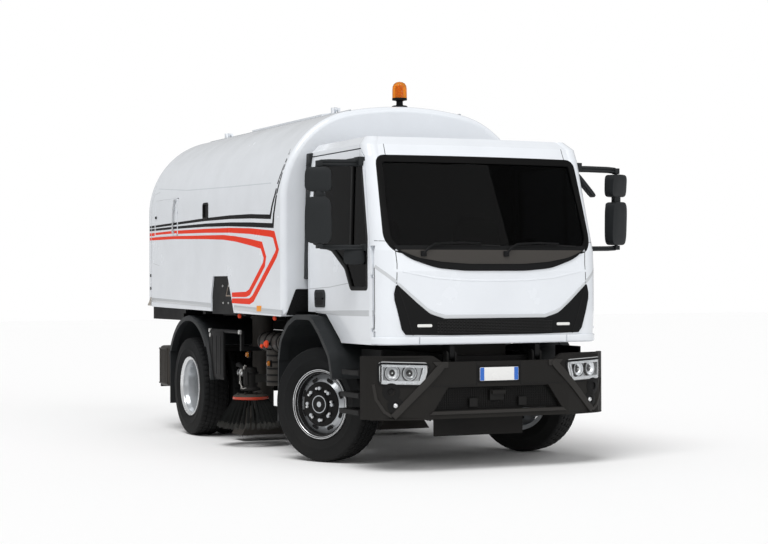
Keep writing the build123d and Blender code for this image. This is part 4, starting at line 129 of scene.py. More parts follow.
# ======== Chassis frame, axles and tipping gear ========
# Folded steel rails, brackets and axle beams dipped in black, an iron engine and brush heads, chromed ram rods and a
# bright steel tank. Their surface groups give what varies over a part: its colour under a film of road dust that is
# thickest near the road, its roughness and its fine relief.
def surface_group(name, grain, scale, relief, sheen, film_top, film, stretch=(1, 1, 1)):
    """grain: kind of texture; scale: grains to the metre; relief: depth in metres; sheen: roughness, low and high."""
    tree = bpy.data.node_groups.new(name, "ShaderNodeTree")
    tree.interface.new_socket(name="Colour", in_out="INPUT", socket_type="NodeSocketColor")
    for socket, kind in (("Colour", "Color"), ("Roughness", "Float"), ("Normal", "Vector")):
        tree.interface.new_socket(name=socket, in_out="OUTPUT", socket_type=f"NodeSocket{kind}")
    given, out = tree.nodes.new("NodeGroupInput"), tree.nodes.new("NodeGroupOutput")
    place = add_node(tree, "ShaderNodeTexCoord").outputs["Object"]
    height = add_node(tree, "ShaderNodeSeparateXYZ", (place, "Vector")).outputs["Z"]
    low = add_node(tree, "ShaderNodeMapRange", (height, "Value"), From_Min=film_top, From_Max=0.1, To_Max=film)
    clouds = add_node(tree, "ShaderNodeTexNoise", (place, "Vector"), Scale=2.3, Detail=7.0, Roughness=0.6)
    cloud = clouds.outputs["Fac"]
    patch = add_node(tree, "ShaderNodeMapRange", (cloud, "Value"), From_Min=0.3, From_Max=0.72, To_Min=0.25)
    both = ((low.outputs[0], 0), (patch.outputs[0], 1))
    dust = add_node(tree, "ShaderNodeMath", *both, operation="MULTIPLY").outputs[0]
    tone = add_node(tree, "ShaderNodeMapRange", (cloud, "Value"), To_Min=0.93, To_Max=1.05)
    shade = add_node(
        tree, "ShaderNodeVectorMath", (given.outputs["Colour"], 0), (tone.outputs[0], "Scale"), operation="SCALE"
    )
    mixed = add_node(tree, "ShaderNodeMix", (dust, 0), (shade.outputs[0], 6), data_type="RGBA")
    mixed.inputs[7].default_value = (0.23, 0.21, 0.185, 1)
    tree.links.new(mixed.outputs[2], out.inputs["Colour"])
    dull = add_node(
        tree, "ShaderNodeMapRange", (cloud, "Value"), From_Min=0.25, From_Max=0.75, To_Min=sheen[0], To_Max=sheen[1]
    )
    dusty = add_node(tree, "ShaderNodeMix", (dust, 0), (dull.outputs[0], 2), data_type="FLOAT")
    dusty.inputs[3].default_value = 0.85
    tree.links.new(dusty.outputs[0], out.inputs["Roughness"])
    run = add_node(tree, "ShaderNodeMapping", (place, "Vector"), Scale=stretch).outputs[0]
    if grain == "pebble":
        raised = add_node(tree, "ShaderNodeTexVoronoi", (run, "Vector"), Scale=scale, feature="SMOOTH_F1").outputs[0]
    else:
        raised = add_node(tree, "ShaderNodeTexNoise", (run, "Vector"), Scale=scale, Detail=3.0).outputs["Fac"]
    bump = add_node(tree, "ShaderNodeBump", (raised, "Height"), Strength=0.6, Distance=relief)
    tree.links.new(bump.outputs[0], out.inputs["Normal"])
    return tree


def make_finish(name, surface, colour, metallic=0.0, specular=0.5, coat=0.0):
    """A material: the group's colour, roughness and relief, and what is the same all over on the shader itself."""
    finish = bpy.data.materials.new(name)
    finish.use_nodes = True
    tree = finish.node_tree
    shader = tree.nodes["Principled BSDF"]
    group = tree.nodes.new("ShaderNodeGroup")
    group.node_tree = surface
    group.inputs["Colour"].default_value = (*colour, 1)
    for source, target in (("Colour", "Base Color"), ("Roughness", "Roughness"), ("Normal", "Normal")):
        tree.links.new(group.outputs[source], shader.inputs[target])
    shader.inputs["Metallic"].default_value = metallic
    shader.inputs["Specular IOR Level"].default_value = specular
    shader.inputs["Coat Weight"].default_value = coat
    shader.inputs["Coat Roughness"].default_value = 0.08
    return finish


def paint(finish, names):
    """The finish on CAD solids that are seen as they are."""
    for name in names.split():
        for held in cad_nodes[name].material_slots:
            held.material = finish


dipped = surface_group("dipped_steel", "noise", 120, 0.0006, (0.45, 0.7), 1.3, 0.07)
cast = surface_group("sand_casting", "noise", 260, 0.0015, (0.5, 0.75), 1.4, 0.12)
brushed = surface_group("brushed_metal", "noise", 300, 0.0001, (0.25, 0.45), 0.9, 0.25, stretch=(1, 1, 14))
chassis_black = make_finish("chassis_black", dipped, (0.0065, 0.0065, 0.0068), specular=0.12)
casting = make_finish("iron_casting", cast, (0.02, 0.02, 0.019), specular=0.2)
steel = make_finish("bright_steel", brushed, (0.56, 0.56, 0.55), metallic=0.9)
paint(chassis_black, "frame_rails frame_brackets axles front_carrier rear_underrun knuckle_left knuckle_right")
paint(chassis_black, "ram_barrels hopper_base brush_arm_left brush_arm_right")
paint(casting, "engine_block brush_head_left brush_head_right")
paint(steel, "fuel_tank")
paint(make_finish("ram_chrome", brushed, (0.78, 0.78, 0.78), metallic=1.0), "ram_rods")

# ======== Cab shell, doors and floor ========
# Pressed steel panels, spot-welded, primed and sprayed gloss white; the floor tub is lined with black moulded
# plastic.
sprayed = surface_group("sprayed_paint", "noise", 260, 0.00006, (0.16, 0.3), 1.35, 0.06)
moulded = surface_group("moulded_plastic", "pebble", 900, 0.0003, (0.42, 0.6), 1.1, 0.04)
white = make_finish("white_paint", sprayed, (0.77, 0.8, 0.84), coat=0.35)
trim_black = make_finish("trim_black", moulded, (0.0062, 0.0064, 0.0068), specular=0.12)
paint(white, "cab_front cab_back cab_roof door_left door_right")
paint(trim_black, "cab_floor")

# ======== Scuttle panel ========
# Injection-moulded black panel clipped to the nose under the glass, with a lighter tray for the wipers. Such panels
# are drawn flat in millimetres (along, out, up), then laid on the skin of the nose, which bends round to the doors.
FRONT_AXLE = -1585
CAB_LEVELS = (  # height, nose y, front corner x and y, side x and y, y from the front axle
    (1039, -1240, 880, -1207, 1040, -1010),
    (1300, -1262, 885, -1222, 1050, -1020),
    (1640, -1262, 885, -1218, 1050, -1020),
    (1812, -1245, 890, -1200, 1050, -1010),
    (2600, -985, 905, -915, 1025, -790),
    (2700, -935, 900, -870, 1012, -760),
    (2770, -830, 850, -780, 940, -700),
)


def arc_through(start, via, end, count):
    """Points from start to end on the circle through all three."""
    (ax, ay), (bx, by), (cx, cy) = start, via, end
    d = 2 * (ax * (by - cy) + bx * (cy - ay) + cx * (ay - by))
    a2, b2, c2 = ax * ax + ay * ay, bx * bx + by * by, cx * cx + cy * cy
    ux = (a2 * (by - cy) + b2 * (cy - ay) + c2 * (ay - by)) / d
    uy = (a2 * (cx - bx) + b2 * (ax - cx) + c2 * (bx - ax)) / d
    first, last = math.atan2(ay - uy, ax - ux), math.atan2(cy - uy, cx - ux)
    turn = (last - first + math.pi) % (2 * math.pi) - math.pi
    radius = math.hypot(ax - ux, ay - uy)
    angles = [first + turn * k / count for k in range(count + 1)]
    return [(ux + radius * math.cos(angle), uy + radius * math.sin(angle)) for angle in angles]


@functools.cache
def cab_line(step):
    """The left-hand half of the cab's outline at a height in steps of 4 mm, from mid-nose to the back."""
    z = min(max(step * 4.0, 1039.0), 2769.0)
    for below, above in zip(CAB_LEVELS, CAB_LEVELS[1:]):
        if z <= above[0]:
            t = (z - below[0]) / (above[0] - below[0])
            nose, corner_x, corner_y, side_x, side_y = (a + (b - a) * t for a, b in zip(below[1:], above[1:]))
            break
    bend = ((corner_x + side_x) / 2 + 32, (corner_y + side_y) / 2 - 38)
    front = arc_through((-corner_x, corner_y), (0, nose), (corner_x, corner_y), 48)[24:]
    corner = arc_through((corner_x, corner_y), bend, (side_x, side_y), 14)
    return [(x, y + FRONT_AXLE) for x, y in front + corner[1:] + [(side_x, 290)]]


def along(line, u):
    """The place and outward direction on a half outline, u along it from the middle."""
    left = abs(u)
    sign = -1 if u < 0 else 1
    for (ax, ay), (bx, by) in zip(line, line[1:]):
        length = math.hypot(bx - ax, by - ay)
        if left <= length or (bx, by) == line[-1]:
            t = left / length
            spot = Vector((sign * (ax + (bx - ax) * t), ay + (by - ay) * t))
            return spot, Vector((sign * (by - ay), ax - bx)) / length
        left -= length


def on_cab(u, d, z):
    """Place on the cab's skin: u along it from the middle of the nose, d out of it, z up."""
    step = round(z / 4)
    spot, out = along(cab_line(step), u)
    above = along(cab_line(step + 10), u)[0]
    lean = Vector((above.x - spot.x, above.y - spot.y, 40.0))
    flat = out.to_3d()
    normal = (flat - lean * flat.dot(lean) / lean.length_squared).normalized()
    return Vector((spot.x, spot.y, step * 4)) + lean * ((z - step * 4) / 40.0) + normal * d


def break_edges(form, size, segments=2):
    """Every sharp edge of the form rounded over by size."""
    bmesh.ops.recalc_face_normals(form, faces=form.faces)
    sharp = [edge for edge in form.edges if edge.is_manifold and edge.calc_face_angle() > 0.5]
    rounding = dict(segments=segments, profile=0.6, affect="EDGES", clamp_overlap=True)
    bmesh.ops.bevel(form, geom=sharp, offset=size, **rounding)


def divide(form, axis, step):
    """Extra edges across the form every step millimetres, so that it can follow a curve."""
    across = Vector((0, 0, 0))
    across[axis] = 1
    places = [vert.co[axis] for vert in form.verts]
    at = (math.floor(min(places) / step) + 1) * step
    while at < max(places):
        whole = form.verts[:] + form.edges[:] + form.faces[:]
        bmesh.ops.bisect_plane(form, geom=whole, plane_co=across * at, plane_no=across)
        at += step


def new_piece(
    name, shapes, finish, body, slot, bevel=0, segments=2, cuts=(), place=None, crease=38, replaces=None
):
    """One piece on a body. shapes: a form, or a list of (drawing function, its measures); its edges are rounded by
    bevel, it is cut every (axis, step), then moved by place, a matrix or a function of a drawn point."""
    form = shapes
    if isinstance(shapes, list):
        form = bmesh.new()
        for draw, *measures in shapes:
            draw(form, *measures)
    if bevel:
        break_edges(form, bevel, segments)
    for axis, step in cuts:
        divide(form, axis, step)
    for vert in form.verts if place else ():
        vert.co = place @ vert.co if isinstance(place, Matrix) else place(*vert.co)
    bmesh.ops.transform(form, matrix=Matrix.Scale(0.001, 4), verts=form.verts)
    bmesh.ops.recalc_face_normals(form, faces=form.faces)
    mesh = bpy.data.meshes.new(name)
    form.to_mesh(mesh)
    form.free()
    mesh.polygons.foreach_set("use_smooth", [True] * len(mesh.polygons))
    mesh.set_sharp_from_angle(angle=math.radians(crease))
    mesh.materials.append(finish)
    piece = bpy.data.objects.new(name, mesh)
    scene.collection.objects.link(piece)
    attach(piece, body)
    if replaces:
        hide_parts(replaces)
    return piece


def cab_piece(name, shapes, finish, bevel=0, slot="black_plastic", cuts=((0, 36), (2, 60)), **more):
    """A piece laid on the cab's skin."""
    return new_piece(name, shapes, finish, "cab", slot, bevel, cuts=cuts, place=on_cab, **more)


def joined(form, rings, closed=False):
    """Faces from each ring of points to the next; the two ends are filled unless the last meets the first."""
    for first, second in zip(rings, rings[1:] + rings[:closed]):
        for i in range(len(first)):
            form.faces.new((first[i - 1], first[i], second[i], second[i - 1]))
    if not closed:
        form.faces.new(rings[0])
        form.faces.new(rings[-1])


def slab(form, outline, near, far, matrix=None):
    """A plate on its outline of (along, up), from depth near to depth far."""
    rings = [[form.verts.new((u, depth, z)) for u, z in outline] for depth in (near, far)]
    joined(form, rings)
    if matrix:
        bmesh.ops.transform(form, matrix=matrix, verts=rings[0] + rings[1])


def softened(points, radius, closed=False, cuts=4):
    """The same line with each corner rounded off by up to the radius."""
    out = []
    count = len(points)
    for i, point in enumerate(points):
        if not closed and i in (0, count - 1):
            out.append(tuple(point))
            continue
        here, before, after = Vector(point), Vector(points[i - 1]), Vector(points[(i + 1) % count])
        start = here + (before - here).normalized() * min(radius, (before - here).length * 0.45)
        end = here + (after - here).normalized() * min(radius, (after - here).length * 0.45)
        for t in (k / cuts for k in range(cuts + 1)):
            out.append(tuple(start * (1 - t) ** 2 + here * 2 * t * (1 - t) + end * t * t))
    return out


def whole_line(half):
    """A line over both sides from the half of it on one side."""
    return half + [(-u, z) for u, z in reversed(half)]


tray_grey = make_finish("wiper_tray_grey", moulded, (0.045, 0.041, 0.037), specular=0.25)
for name, half, radius, near, far, finish in (
    ("scuttle_panel", [(-930, 1850), (-764, 1738), (-534, 1664), (-280, 1642)], 60, -2, 9, trim_black),
    ("wiper_tray", [(-872, 1812), (-700, 1750), (-500, 1716), (-250, 1699)], 40, 7, 14, tray_grey),
):
    cab_piece(name, [(slab, softened(whole_line(half), radius, True), near, far)], finish, 3)


# ======== Grille ========
# Moulded black panel with two swept wings, clipped into the nose; it holds a glossy honeycomb insert and two clear
# marker lamps.
def band(form, points, widths, near, far, closed=False):
    """A band laid along a line, from depth near to depth far; widths is one number or one for each point."""
    count = len(points)
    widths = widths if isinstance(widths, list) else [widths] * count
    rings = []
    for i, width in enumerate(widths):
        here = Vector(points[i])
        way_in = (here - Vector(points[i - 1] if closed or i else here)).normalized()
        way_out = (Vector(points[(i + 1) % count] if closed or i < count - 1 else here) - here).normalized()
        way_in, way_out = way_in if way_in.length else way_out, way_out if way_out.length else way_in
        mean = (way_in + way_out).normalized()
        side = Vector((-mean.y, mean.x)) * (width / 2 / max(0.35, mean.dot(way_out)))
        corners = ((here + side, near), (here + side, far), (here - side, far), (here - side, near))
        rings.append([form.verts.new((corner.x, depth, corner.y)) for corner, depth in corners])
    joined(form, rings, closed)


def soft_box(low_u, low_z, high_u, high_z, radius):
    """An upright rectangle with rounded corners."""
    return softened([(low_u, low_z), (high_u, low_z), (high_u, high_z), (low_u, high_z)], radius, True)


def twice(draw, points, *measures):
    """The same shape on the right and on the left."""
    return [(draw, [(s * u, z) for u, z in points], *measures) for s in (-1, 1)]


def block(form, centre, size):
    """A rectangular block by its centre and size."""
    made = bmesh.ops.create_cube(form, size=1.0)["verts"]
    bmesh.ops.scale(form, vec=size, verts=made)
    bmesh.ops.translate(form, vec=centre, verts=made)


def black_finish(name, shade, gloss):
    return make_finish(name, moulded, (shade, shade, shade * 1.02), specular=gloss)


seam_black = black_finish("seam_sealant", 0.012, 0.1)
wing = [
    (-470, 1251), (-600, 1290), (-720, 1385), (-886, 1531), (-899, 1520), (-914, 1456), (-910, 1405),
    (-846, 1165), (-812, 1122), (-400, 1114),
]
cab_piece("grille_surround", [(slab, whole_line(wing), -2, 9)], trim_black, 3, replaces="cab_trim")
cab_piece("grille_wing_seams", twice(band, [(884, 1514), (842, 1410), (748, 1118)], 8, 8.5, 11), seam_black)
ROW_RISE, COLUMN_GAP = 12.6, 31
honeycomb = []
for row in range(9):
    z = 1136 + row * ROW_RISE
    honeycomb.append((block, (0, 11, z), (1080 if row < 8 else 900, 5, 2.6)))
    for column in range(-17, 17):
        u = (column + row % 2 / 2) * COLUMN_GAP
        if row < 8 and abs(u) < (470 if row > 6 else 530):
            honeycomb.append((block, (u, 11, z + ROW_RISE / 2), (2.6, 5, ROW_RISE)))
cab_piece("grille_honeycomb", honeycomb, black_finish("grille_gloss", 0.006, 0.5), cuts=((0, 90),))
marker = soft_box(585, 1184, 715, 1208, 10)
marker_white = make_finish("marker_white", sprayed, (0.8, 0.8, 0.78), coat=0.6)
cab_piece("marker_lamps", twice(slab, marker, 8, 15), marker_white, 2, "lamp_lens", cuts=((0, 30),))

# ======== Nose panel lines ========
# The white bonnet panel is a separate pressing with a rolled lower edge over the grille, a faint swage and an open
# joint each side; swages and joints run on round the corners, and a moulded lip in three lengths ends the nose.
# The rolled edge and the corner swages are the white paint coloured grey: painted shade.
# Grey in place of the white paint: painted shade on the rolled edge and the corner swages; the hopper's rear joint
# and its gutter are drawn in it too.
shade_and_seam_grey = make_finish("painted_shade_and_seam", sprayed, (0.56, 0.58, 0.6), coat=0.3)
edge_line = whole_line(softened([(-884, 1540), (-720, 1400), (-606, 1306), (-470, 1267)], 60))
cab_piece("bonnet_rolled_edge", [(band, edge_line, 30, -2, 7)], shade_and_seam_grey, 4, "white_paint")
cab_piece(
    "bonnet_joints",
    twice(band, [(890, 1538), (884, 1700), (893, 1818)], 6, -1, 0.8)
    + twice(band, [(853, 2606), (850, 2700)], 5, -1, 0.8)
    + twice(band, [(962, 1886), (1062, 1890)], 4, -1, 0.8),
    seam_black,
)
lip = [
    (slab, [(start, 1044), (end, 1044), (end, 1104), (start, 1104)], -2, 15)
    for start, end in ((-1120, -694), (-688, 688), (694, 1120))
]
cab_piece("nose_lip", lip, white, 9, "white_paint", cuts=((0, 36),), segments=3)
swage = [(1078, 1682), (985, 1622), (890, 1550)]
cab_piece("corner_swages", twice(band, swage, 28, -2, 1.2), shade_and_seam_grey, slot="white_paint")
joint = [(1083, 1672), (1084, 1450), (1084, 1215), (1092, 1160)]
cab_piece("corner_joints", twice(band, joint, 7, -1, 0.6), seam_black)
swage = [(-840, 1640), (-560, 1586), (-300, 1566), (0, 1561), (300, 1566), (560, 1586), (840, 1640)]
cab_piece("bonnet_swage", [(band, swage, 14, -3, 2.2)], white, 2, "white_paint")


# ======== Windscreen and door glass ========
# Safety glass with a dark tint through its thickness. The screen is bonded in behind a wide black fired-on border.
def make_pane(name, tint, rough, weight, gloss, index=1.3):
    """A clear material, faintly smeared by wiping; weight is how much of the light goes through."""
    pane = bpy.data.materials.new(name)
    pane.use_nodes = True
    tree = pane.node_tree
    shader = tree.nodes["Principled BSDF"]
    place = add_node(tree, "ShaderNodeTexCoord").outputs["Object"]
    haze = add_node(tree, "ShaderNodeTexNoise", (place, "Vector"), Scale=3.0, Detail=5.0).outputs["Fac"]
    wiped = add_node(tree, "ShaderNodeMapRange", (haze, "Value"), To_Min=rough * 0.5, To_Max=rough * 1.6)
    tree.links.new(wiped.outputs[0], shader.inputs["Roughness"])
    ripple = add_node(tree, "ShaderNodeBump", (haze, "Height"), Strength=0.05, Distance=0.001)
    tree.links.new(ripple.outputs[0], shader.inputs["Normal"])
    shader.inputs["Base Color"].default_value = (*tint, 1)
    shader.inputs["Transmission Weight"].default_value = weight
    shader.inputs["Specular IOR Level"].default_value = gloss
    shader.inputs["IOR"].default_value = index
    return pane


tinted_glass = make_pane("tinted_glass", (0.03, 0.032, 0.034), 0.02, 1.0, 0.16, 1.14)
paint(tinted_glass, "windscreen door_glass_left door_glass_right")
screen = softened(whole_line([(-884, 1816), (-950, 1908), (-918, 2578)]), 52, True)
cab_piece("windscreen_seal", [(band, screen, 58, -15, 1.5, True)], black_finish("fired_border", 0.0028, 0.1), 1.5)


# ======== Wipers ========
# Two pressed-steel arms on splined spindles in the scuttle, each with a rubber blade lying towards the driver.
def bar(form, points, radius, sides=12):
    """A round bar through its points, its ends closed; each joint is mitred."""
    points = [Vector(point) for point in points]
    rings = []
    side = None
    for i, point in enumerate(points):
        way_in = (point - points[i - 1]).normalized() if i else (points[1] - point).normalized()
        way_out = (points[i + 1] - point).normalized() if i < len(points) - 1 else way_in
        mean = (way_in + way_out).normalized()
        side = side or mean.orthogonal()
        side = (side - mean * side.dot(mean)).normalized()
        top = mean.cross(side)
        bend = (way_out - way_in).normalized() if (way_out - way_in).length > 1e-4 else Vector((0, 0, 0))
        stretch = 1 / max(0.5, mean.dot(way_out)) - 1
        ring = []
        for turn in (math.tau * k / sides for k in range(sides)):
            spoke = side * math.cos(turn) + top * math.sin(turn)
            ring.append(form.verts.new(point + (spoke + bend * spoke.dot(bend) * stretch) * radius))
        rings.append(ring)
    joined(form, rings)


arms, blades = [], []
for pivot in (-655, 95):
    path = [(0, 20, 1782), (46, 32, 1822), (110, 30, 1856), (330, 26, 1868), (520, 22, 1862)]
    arms.append((bar, [(pivot + u, d, z) for u, d, z in path], 9, 8))
    arms += [(block, (pivot, 16, 1780), (46, 22, 40)), (block, (pivot + 345, 24, 1866), (60, 16, 14))]
    path = [(60, 10, 1846), (200, 9, 1850), (500, 9, 1853), (700, 9, 1846)]
    blades.append((bar, [(pivot + u, d, z) for u, d, z in path], 7, 6))
cab_piece("wiper_arms", arms, trim_black, cuts=((0, 60),))
cab_piece("wiper_blades", blades, seam_black, cuts=((0, 60),))

# ======== Air intake stack ========
# A louvred plastic snorkel, raked back, on two brackets behind the cab's right rear edge; it rides with the cab.
mirror_grey = make_finish("mirror_grey", moulded, (0.017, 0.019, 0.0205), specular=0.2)
stack = bmesh.new()
block(stack, (-1002, FRONT_AXLE + 340, 2140), (76, 100, 1116))
break_edges(stack, 14, 3)
for k in range(9):
    block(stack, (-1042, FRONT_AXLE + 340, 2610 - k * 16), (8, 70, 6))
for z in (1900, 2350):
    block(stack, (-1002, FRONT_AXLE + 300, z), (60, 30, 60))
rake = Matrix(((1, 0, 0, 0), (0, 1, -0.064, 2140 * 0.064), (0, 0, 1, 0), (0, 0, 0, 1)))
new_piece("intake_stack", stack, mirror_grey, "cab", "black_plastic", place=rake)

# ======== Corner panels ========
# Black moulded splash panels, bolted to the chassis above each mudguard, close the space behind the cab's corners.
SIDES = ((-1, "right"), (1, "left"))
for sign, side in SIDES:
    panels = []
    for outline, radius, near, far in (
        ([(900, 1495), (1112, 1495), (1205, 1262), (900, 1262)], 12, 428, 434),
        ([(900, 1440), (1070, 1440), (1130, 1290), (900, 1290)], 30, 420, 428),
    ):
        outline = softened([(sign * x, z) for x, z in outline], radius, True)
        panels.append((slab, outline, FRONT_AXLE + near, FRONT_AXLE + far))
    new_piece(f"corner_panel_{side}", panels, trim_black, "chassis", "black_plastic", bevel=2)


# ======== Door furniture ========
# Each door has a black glass surround with a divider bar, a pressed waist line, a swage at its foot and a
# moulded pull handle over two recessed hollows in its plate. The waist line and the swage are grey bands on the
# flat skin, painted shadow, and the hollows are dark patches laid on the plate, painted shade.
def on_door(sign):
    """Place on a door's outside: y back from the front axle, d out of the skin, z up."""
    def place(y, d, z):
        line = cab_line(round(z / 4))
        x = line[-2][0]
        for (ax, ay), (bx, by) in zip(line, line[1:-1]):
            if by >= y + FRONT_AXLE > ay:
                x = ax + (bx - ax) * (y + FRONT_AXLE - ay) / (by - ay)
                break
        return Vector((sign * (x + d), y + FRONT_AXLE, z))
    return place


GLASS_LINE = [
    (-985, 1500), (-985, 1905), (-835, 2530), (-790, 2575), (150, 2575), (180, 2545), (180, 1905), (-250, 1835),
    (-533, 1679), (-655, 1500),
]
WAIST_LINE = [(-640, 1548), (-200, 1512), (262, 1496)]
FOOT_LINE = [(-1084, 1298), (-420, 1292), (120, 1296)]
PLATE_LINE = [(-98, 1336), (126, 1336), (140, 1460), (118, 1490), (-84, 1490), (-106, 1450)]
# Dark patches on the handle plate: painted shade where its two hollows are.
recess_shade = [(slab, soft_box(-60, z - 20, 96, z + 20, 14), 6.6, 7.6) for z in (1378, 1446)]
pull = soft_box(-70, 1403, 106, 1422, 8)
# Grey for the white skin: painted shadow along the waist line and the foot swage.
swage_shadow_grey = make_finish("swage_shadow_white", sprayed, (0.5, 0.52, 0.545), coat=0.3)
for sign, side in SIDES:
    for name, shapes, finish, bevel, curved in (
        ("glass_seal", [(band, softened(GLASS_LINE, 26, True), 34, -16, 1.5, True)], seam_black, 1.5, True),
        ("glass_divider", [(band, [(-640, 1700), (-640, 2575)], 34, -14, 0.5)], seam_black, 1, True),
        ("waist_crease", [(band, WAIST_LINE, 7, -1, 0.6)], swage_shadow_grey, 0, True),
        ("foot_swage", [(band, FOOT_LINE, [50, 44, 16], -3, 0.6)], swage_shadow_grey, 0, True),
        ("handle_plate", [(slab, softened(PLATE_LINE, 24, True), -2, 7)], mirror_grey, 3, False),
        ("handle_recess_shade", recess_shade, seam_black, 0, False),
        ("pull", [(slab, pull, 6, 19)], trim_black, 4, False),
    ):
        slot = "white_paint" if finish == swage_shadow_grey else "black_plastic"
        cuts = ((0, 60), (2, 60)) if curved else ()
        new_piece(f"door_{name}_{side}", shapes, finish, f"door_{side}", slot, bevel, cuts=cuts, place=on_door(sign))

# ======== Mirrors ========
# Glass-filled nylon shells on each door, a small wide-angle one over a tall main one with their glasses facing back,
# between two arms bolted to the door frame. A kerb mirror hangs at the right door, a slanting one at the left.
TOE_IN = math.radians(25)


def mirror_shell(form, size, matrix):
    """A shell that is deepest in its middle, narrower at its top and bottom, with soft corners."""
    before = len(form.verts)
    cube = bmesh.ops.create_cube(form, size=2.0)["verts"]
    edges = list({edge for vert in cube for edge in vert.link_edges})
    bmesh.ops.subdivide_edges(form, edges=edges, cuts=9, use_grid_fill=True)
    for vert in form.verts[:][before:]:
        x, y, z = vert.co
        ring = max(abs(x), abs(z))
        if ring:
            soft = ring / (abs(x) ** 5 + abs(z) ** 5) ** 0.2
            x, z = x * soft, z * soft
        swell = (1 - 0.28 * ring**4) * (0.78 + 0.22 * z) if y < 0 else 1 - 0.05 * ring**6
        taper = 1 - 0.06 * (z * 0.5 + 0.5) ** 2
        vert.co = matrix @ Vector((x * taper * size[0] / 2, y * swell * size[1] / 2, z * size[2] / 2))


mirror_glass = make_finish("mirror_glass", sprayed, (0.75, 0.77, 0.79), metallic=1.0)
for sign, side in SIDES:
    x, y = sign * 1426, FRONT_AXLE - 860
    turned_in = Matrix.Rotation(sign * TOE_IN, 4, "Z")
    shells = [
        (mirror_shell, (222, 118, height), Matrix.Translation((x, y, z)) @ turned_in)
        for z, height in ((2062, 380), (2395, 198))
    ]
    on_it = (f"door_{side}", "mirror_plastic")
    new_piece(f"mirror_housings_{side}", shells, mirror_grey, *on_it, crease=60, replaces=f"mirrors_{side}")
    glasses = [(slab, soft_box(-88, low, 88, high, 26), 59, 62.5) for low, high in ((1908, 2245), (2332, 2480))]
    place = Matrix.Translation((x, y, 0)) @ turned_in
    new_piece(f"mirror_glasses_{side}", glasses, mirror_glass, *on_it, 1, place=place)
    arms = [(bar, [(sign * 1418, y, 1836), (sign * 1418, y, 2540)], 16, 12)]
    arms.append((block, (sign * 1418, y, 2272), (64, 54, 60)))
    for z, root_y, rise, deep, lift in ((2528, FRONT_AXLE - 818, 10, 25, 14), (1846, FRONT_AXLE - 940, -8, 19, 0)):
        for dz in (-0.5 * deep, 0.5 * deep):
            line = [
                (sign * 1022, root_y, z + rise + dz), (sign * 1130, (root_y + y) / 2, z + rise + dz),
                (sign * 1330, y, z + rise * 0.6 + dz), (sign * 1412, y, z + dz),
            ]
            arms.append((bar, line, deep * 0.62, 14))
        arms.append((block, (sign * 1418, y, z - rise * 0.4), (44, 58, 2 * deep)))
        arms.append((block, (sign * 1036, root_y, z + rise + lift), (62, 104, 3 * deep)))
    new_piece(f"mirror_arms_{side}", arms, mirror_grey, *on_it, 5)
kerb_place = Matrix.Translation((-1112, FRONT_AXLE - 870, 1762)) @ Matrix.Rotation(-TOE_IN, 4, "Z")
kerb_stalk = [(-1112, FRONT_AXLE - 868, 1812), (-1112, FRONT_AXLE - 866, 1852)]
leaf_place = Matrix.Translation((1088, FRONT_AXLE - 880, 2392)) @ Matrix.Rotation(math.radians(-44), 4, "Y")
leaf_stalk = [(1006, FRONT_AXLE - 840, 2474), (1040, FRONT_AXLE - 870, 2440)]
for name, size, place, stalk, radius, body in (
    ("kerb_mirror", (176, 84, 124), kerb_place, kerb_stalk, 15, "door_right"),
    ("leaf_mirror", (38, 84, 268), leaf_place, leaf_stalk, 14, "door_left"),
):
    shapes = [(mirror_shell, size, place), (bar, stalk, radius, 12)]
    new_piece(name, shapes, mirror_grey, body, "mirror_plastic", crease=60)

# ======== Bumper ========
# A moulded bumper in three lengths, bolted to the carrier, with swept-back corners and a black mouth; raised ribs
# run out and down from the plate. It is the frame's shape with its plan drawn back from PRESS_LINE to BUMPER_LINE.
BUMPER_LINE = [
    (0, -2891), (600, -2891), (660, -2887), (720, -2875), (940, -2815), (1010, -2784), (1060, -2746), (1100, -2702),
    (1128, -2662), (1140, -2625),
]
PRESS_LINE = [
    (0, -2905), (620, -2905), (680, -2895), (1030, -2804), (1090, -2783), (1126, -2744), (1140, -2700), (1140, -2625),
]
CAP_X, CAP_Y = 640, -2625
DRAWN_BACK = 264.5 / 280


def reach(line, turn):
    """How far a plan line is from the cap's inner corner in a direction."""
    way = Vector((math.cos(turn), -math.sin(turn)))
    for (ax, ay), (bx, by) in zip(line, line[1:]):
        start, run = Vector((ax - CAP_X, ay - CAP_Y)), Vector((bx - ax, by - ay))
        across = way.cross(run)
        t = -way.cross(start) / across if abs(across) > 1e-9 else -1
        if -1e-6 <= t <= 1 + 1e-6:
            return (start + run * t).dot(way)
    return 1.0


def swept_back(x, y, z):
    """From a point of the frame's bumper to its place on the swept plan."""
    dx, dy = abs(x) - CAP_X, y - CAP_Y
    if dx <= 0:
        return x, CAP_Y + dy * DRAWN_BACK, z
    turn = math.atan2(-dy, dx)
    size = math.hypot(dx, dy) * reach(BUMPER_LINE, turn) / reach(PRESS_LINE, turn)
    return math.copysign(CAP_X + size * math.cos(turn), x), CAP_Y - size * math.sin(turn), z


def on_bumper(u, d, z):
    spot, out = along(BUMPER_LINE, u)
    return Vector((*(spot + out * d), z))


def bumper_piece(name, shapes, finish, slot="bumper_grey", bevel=0, cuts=((0, 30),), **more):
    return new_piece(name, shapes, finish, "chassis", slot, bevel, cuts=cuts, place=on_bumper, **more)


bumper_grey = make_finish("bumper_grey", moulded, (0.0125, 0.0118, 0.011), specular=0.12)
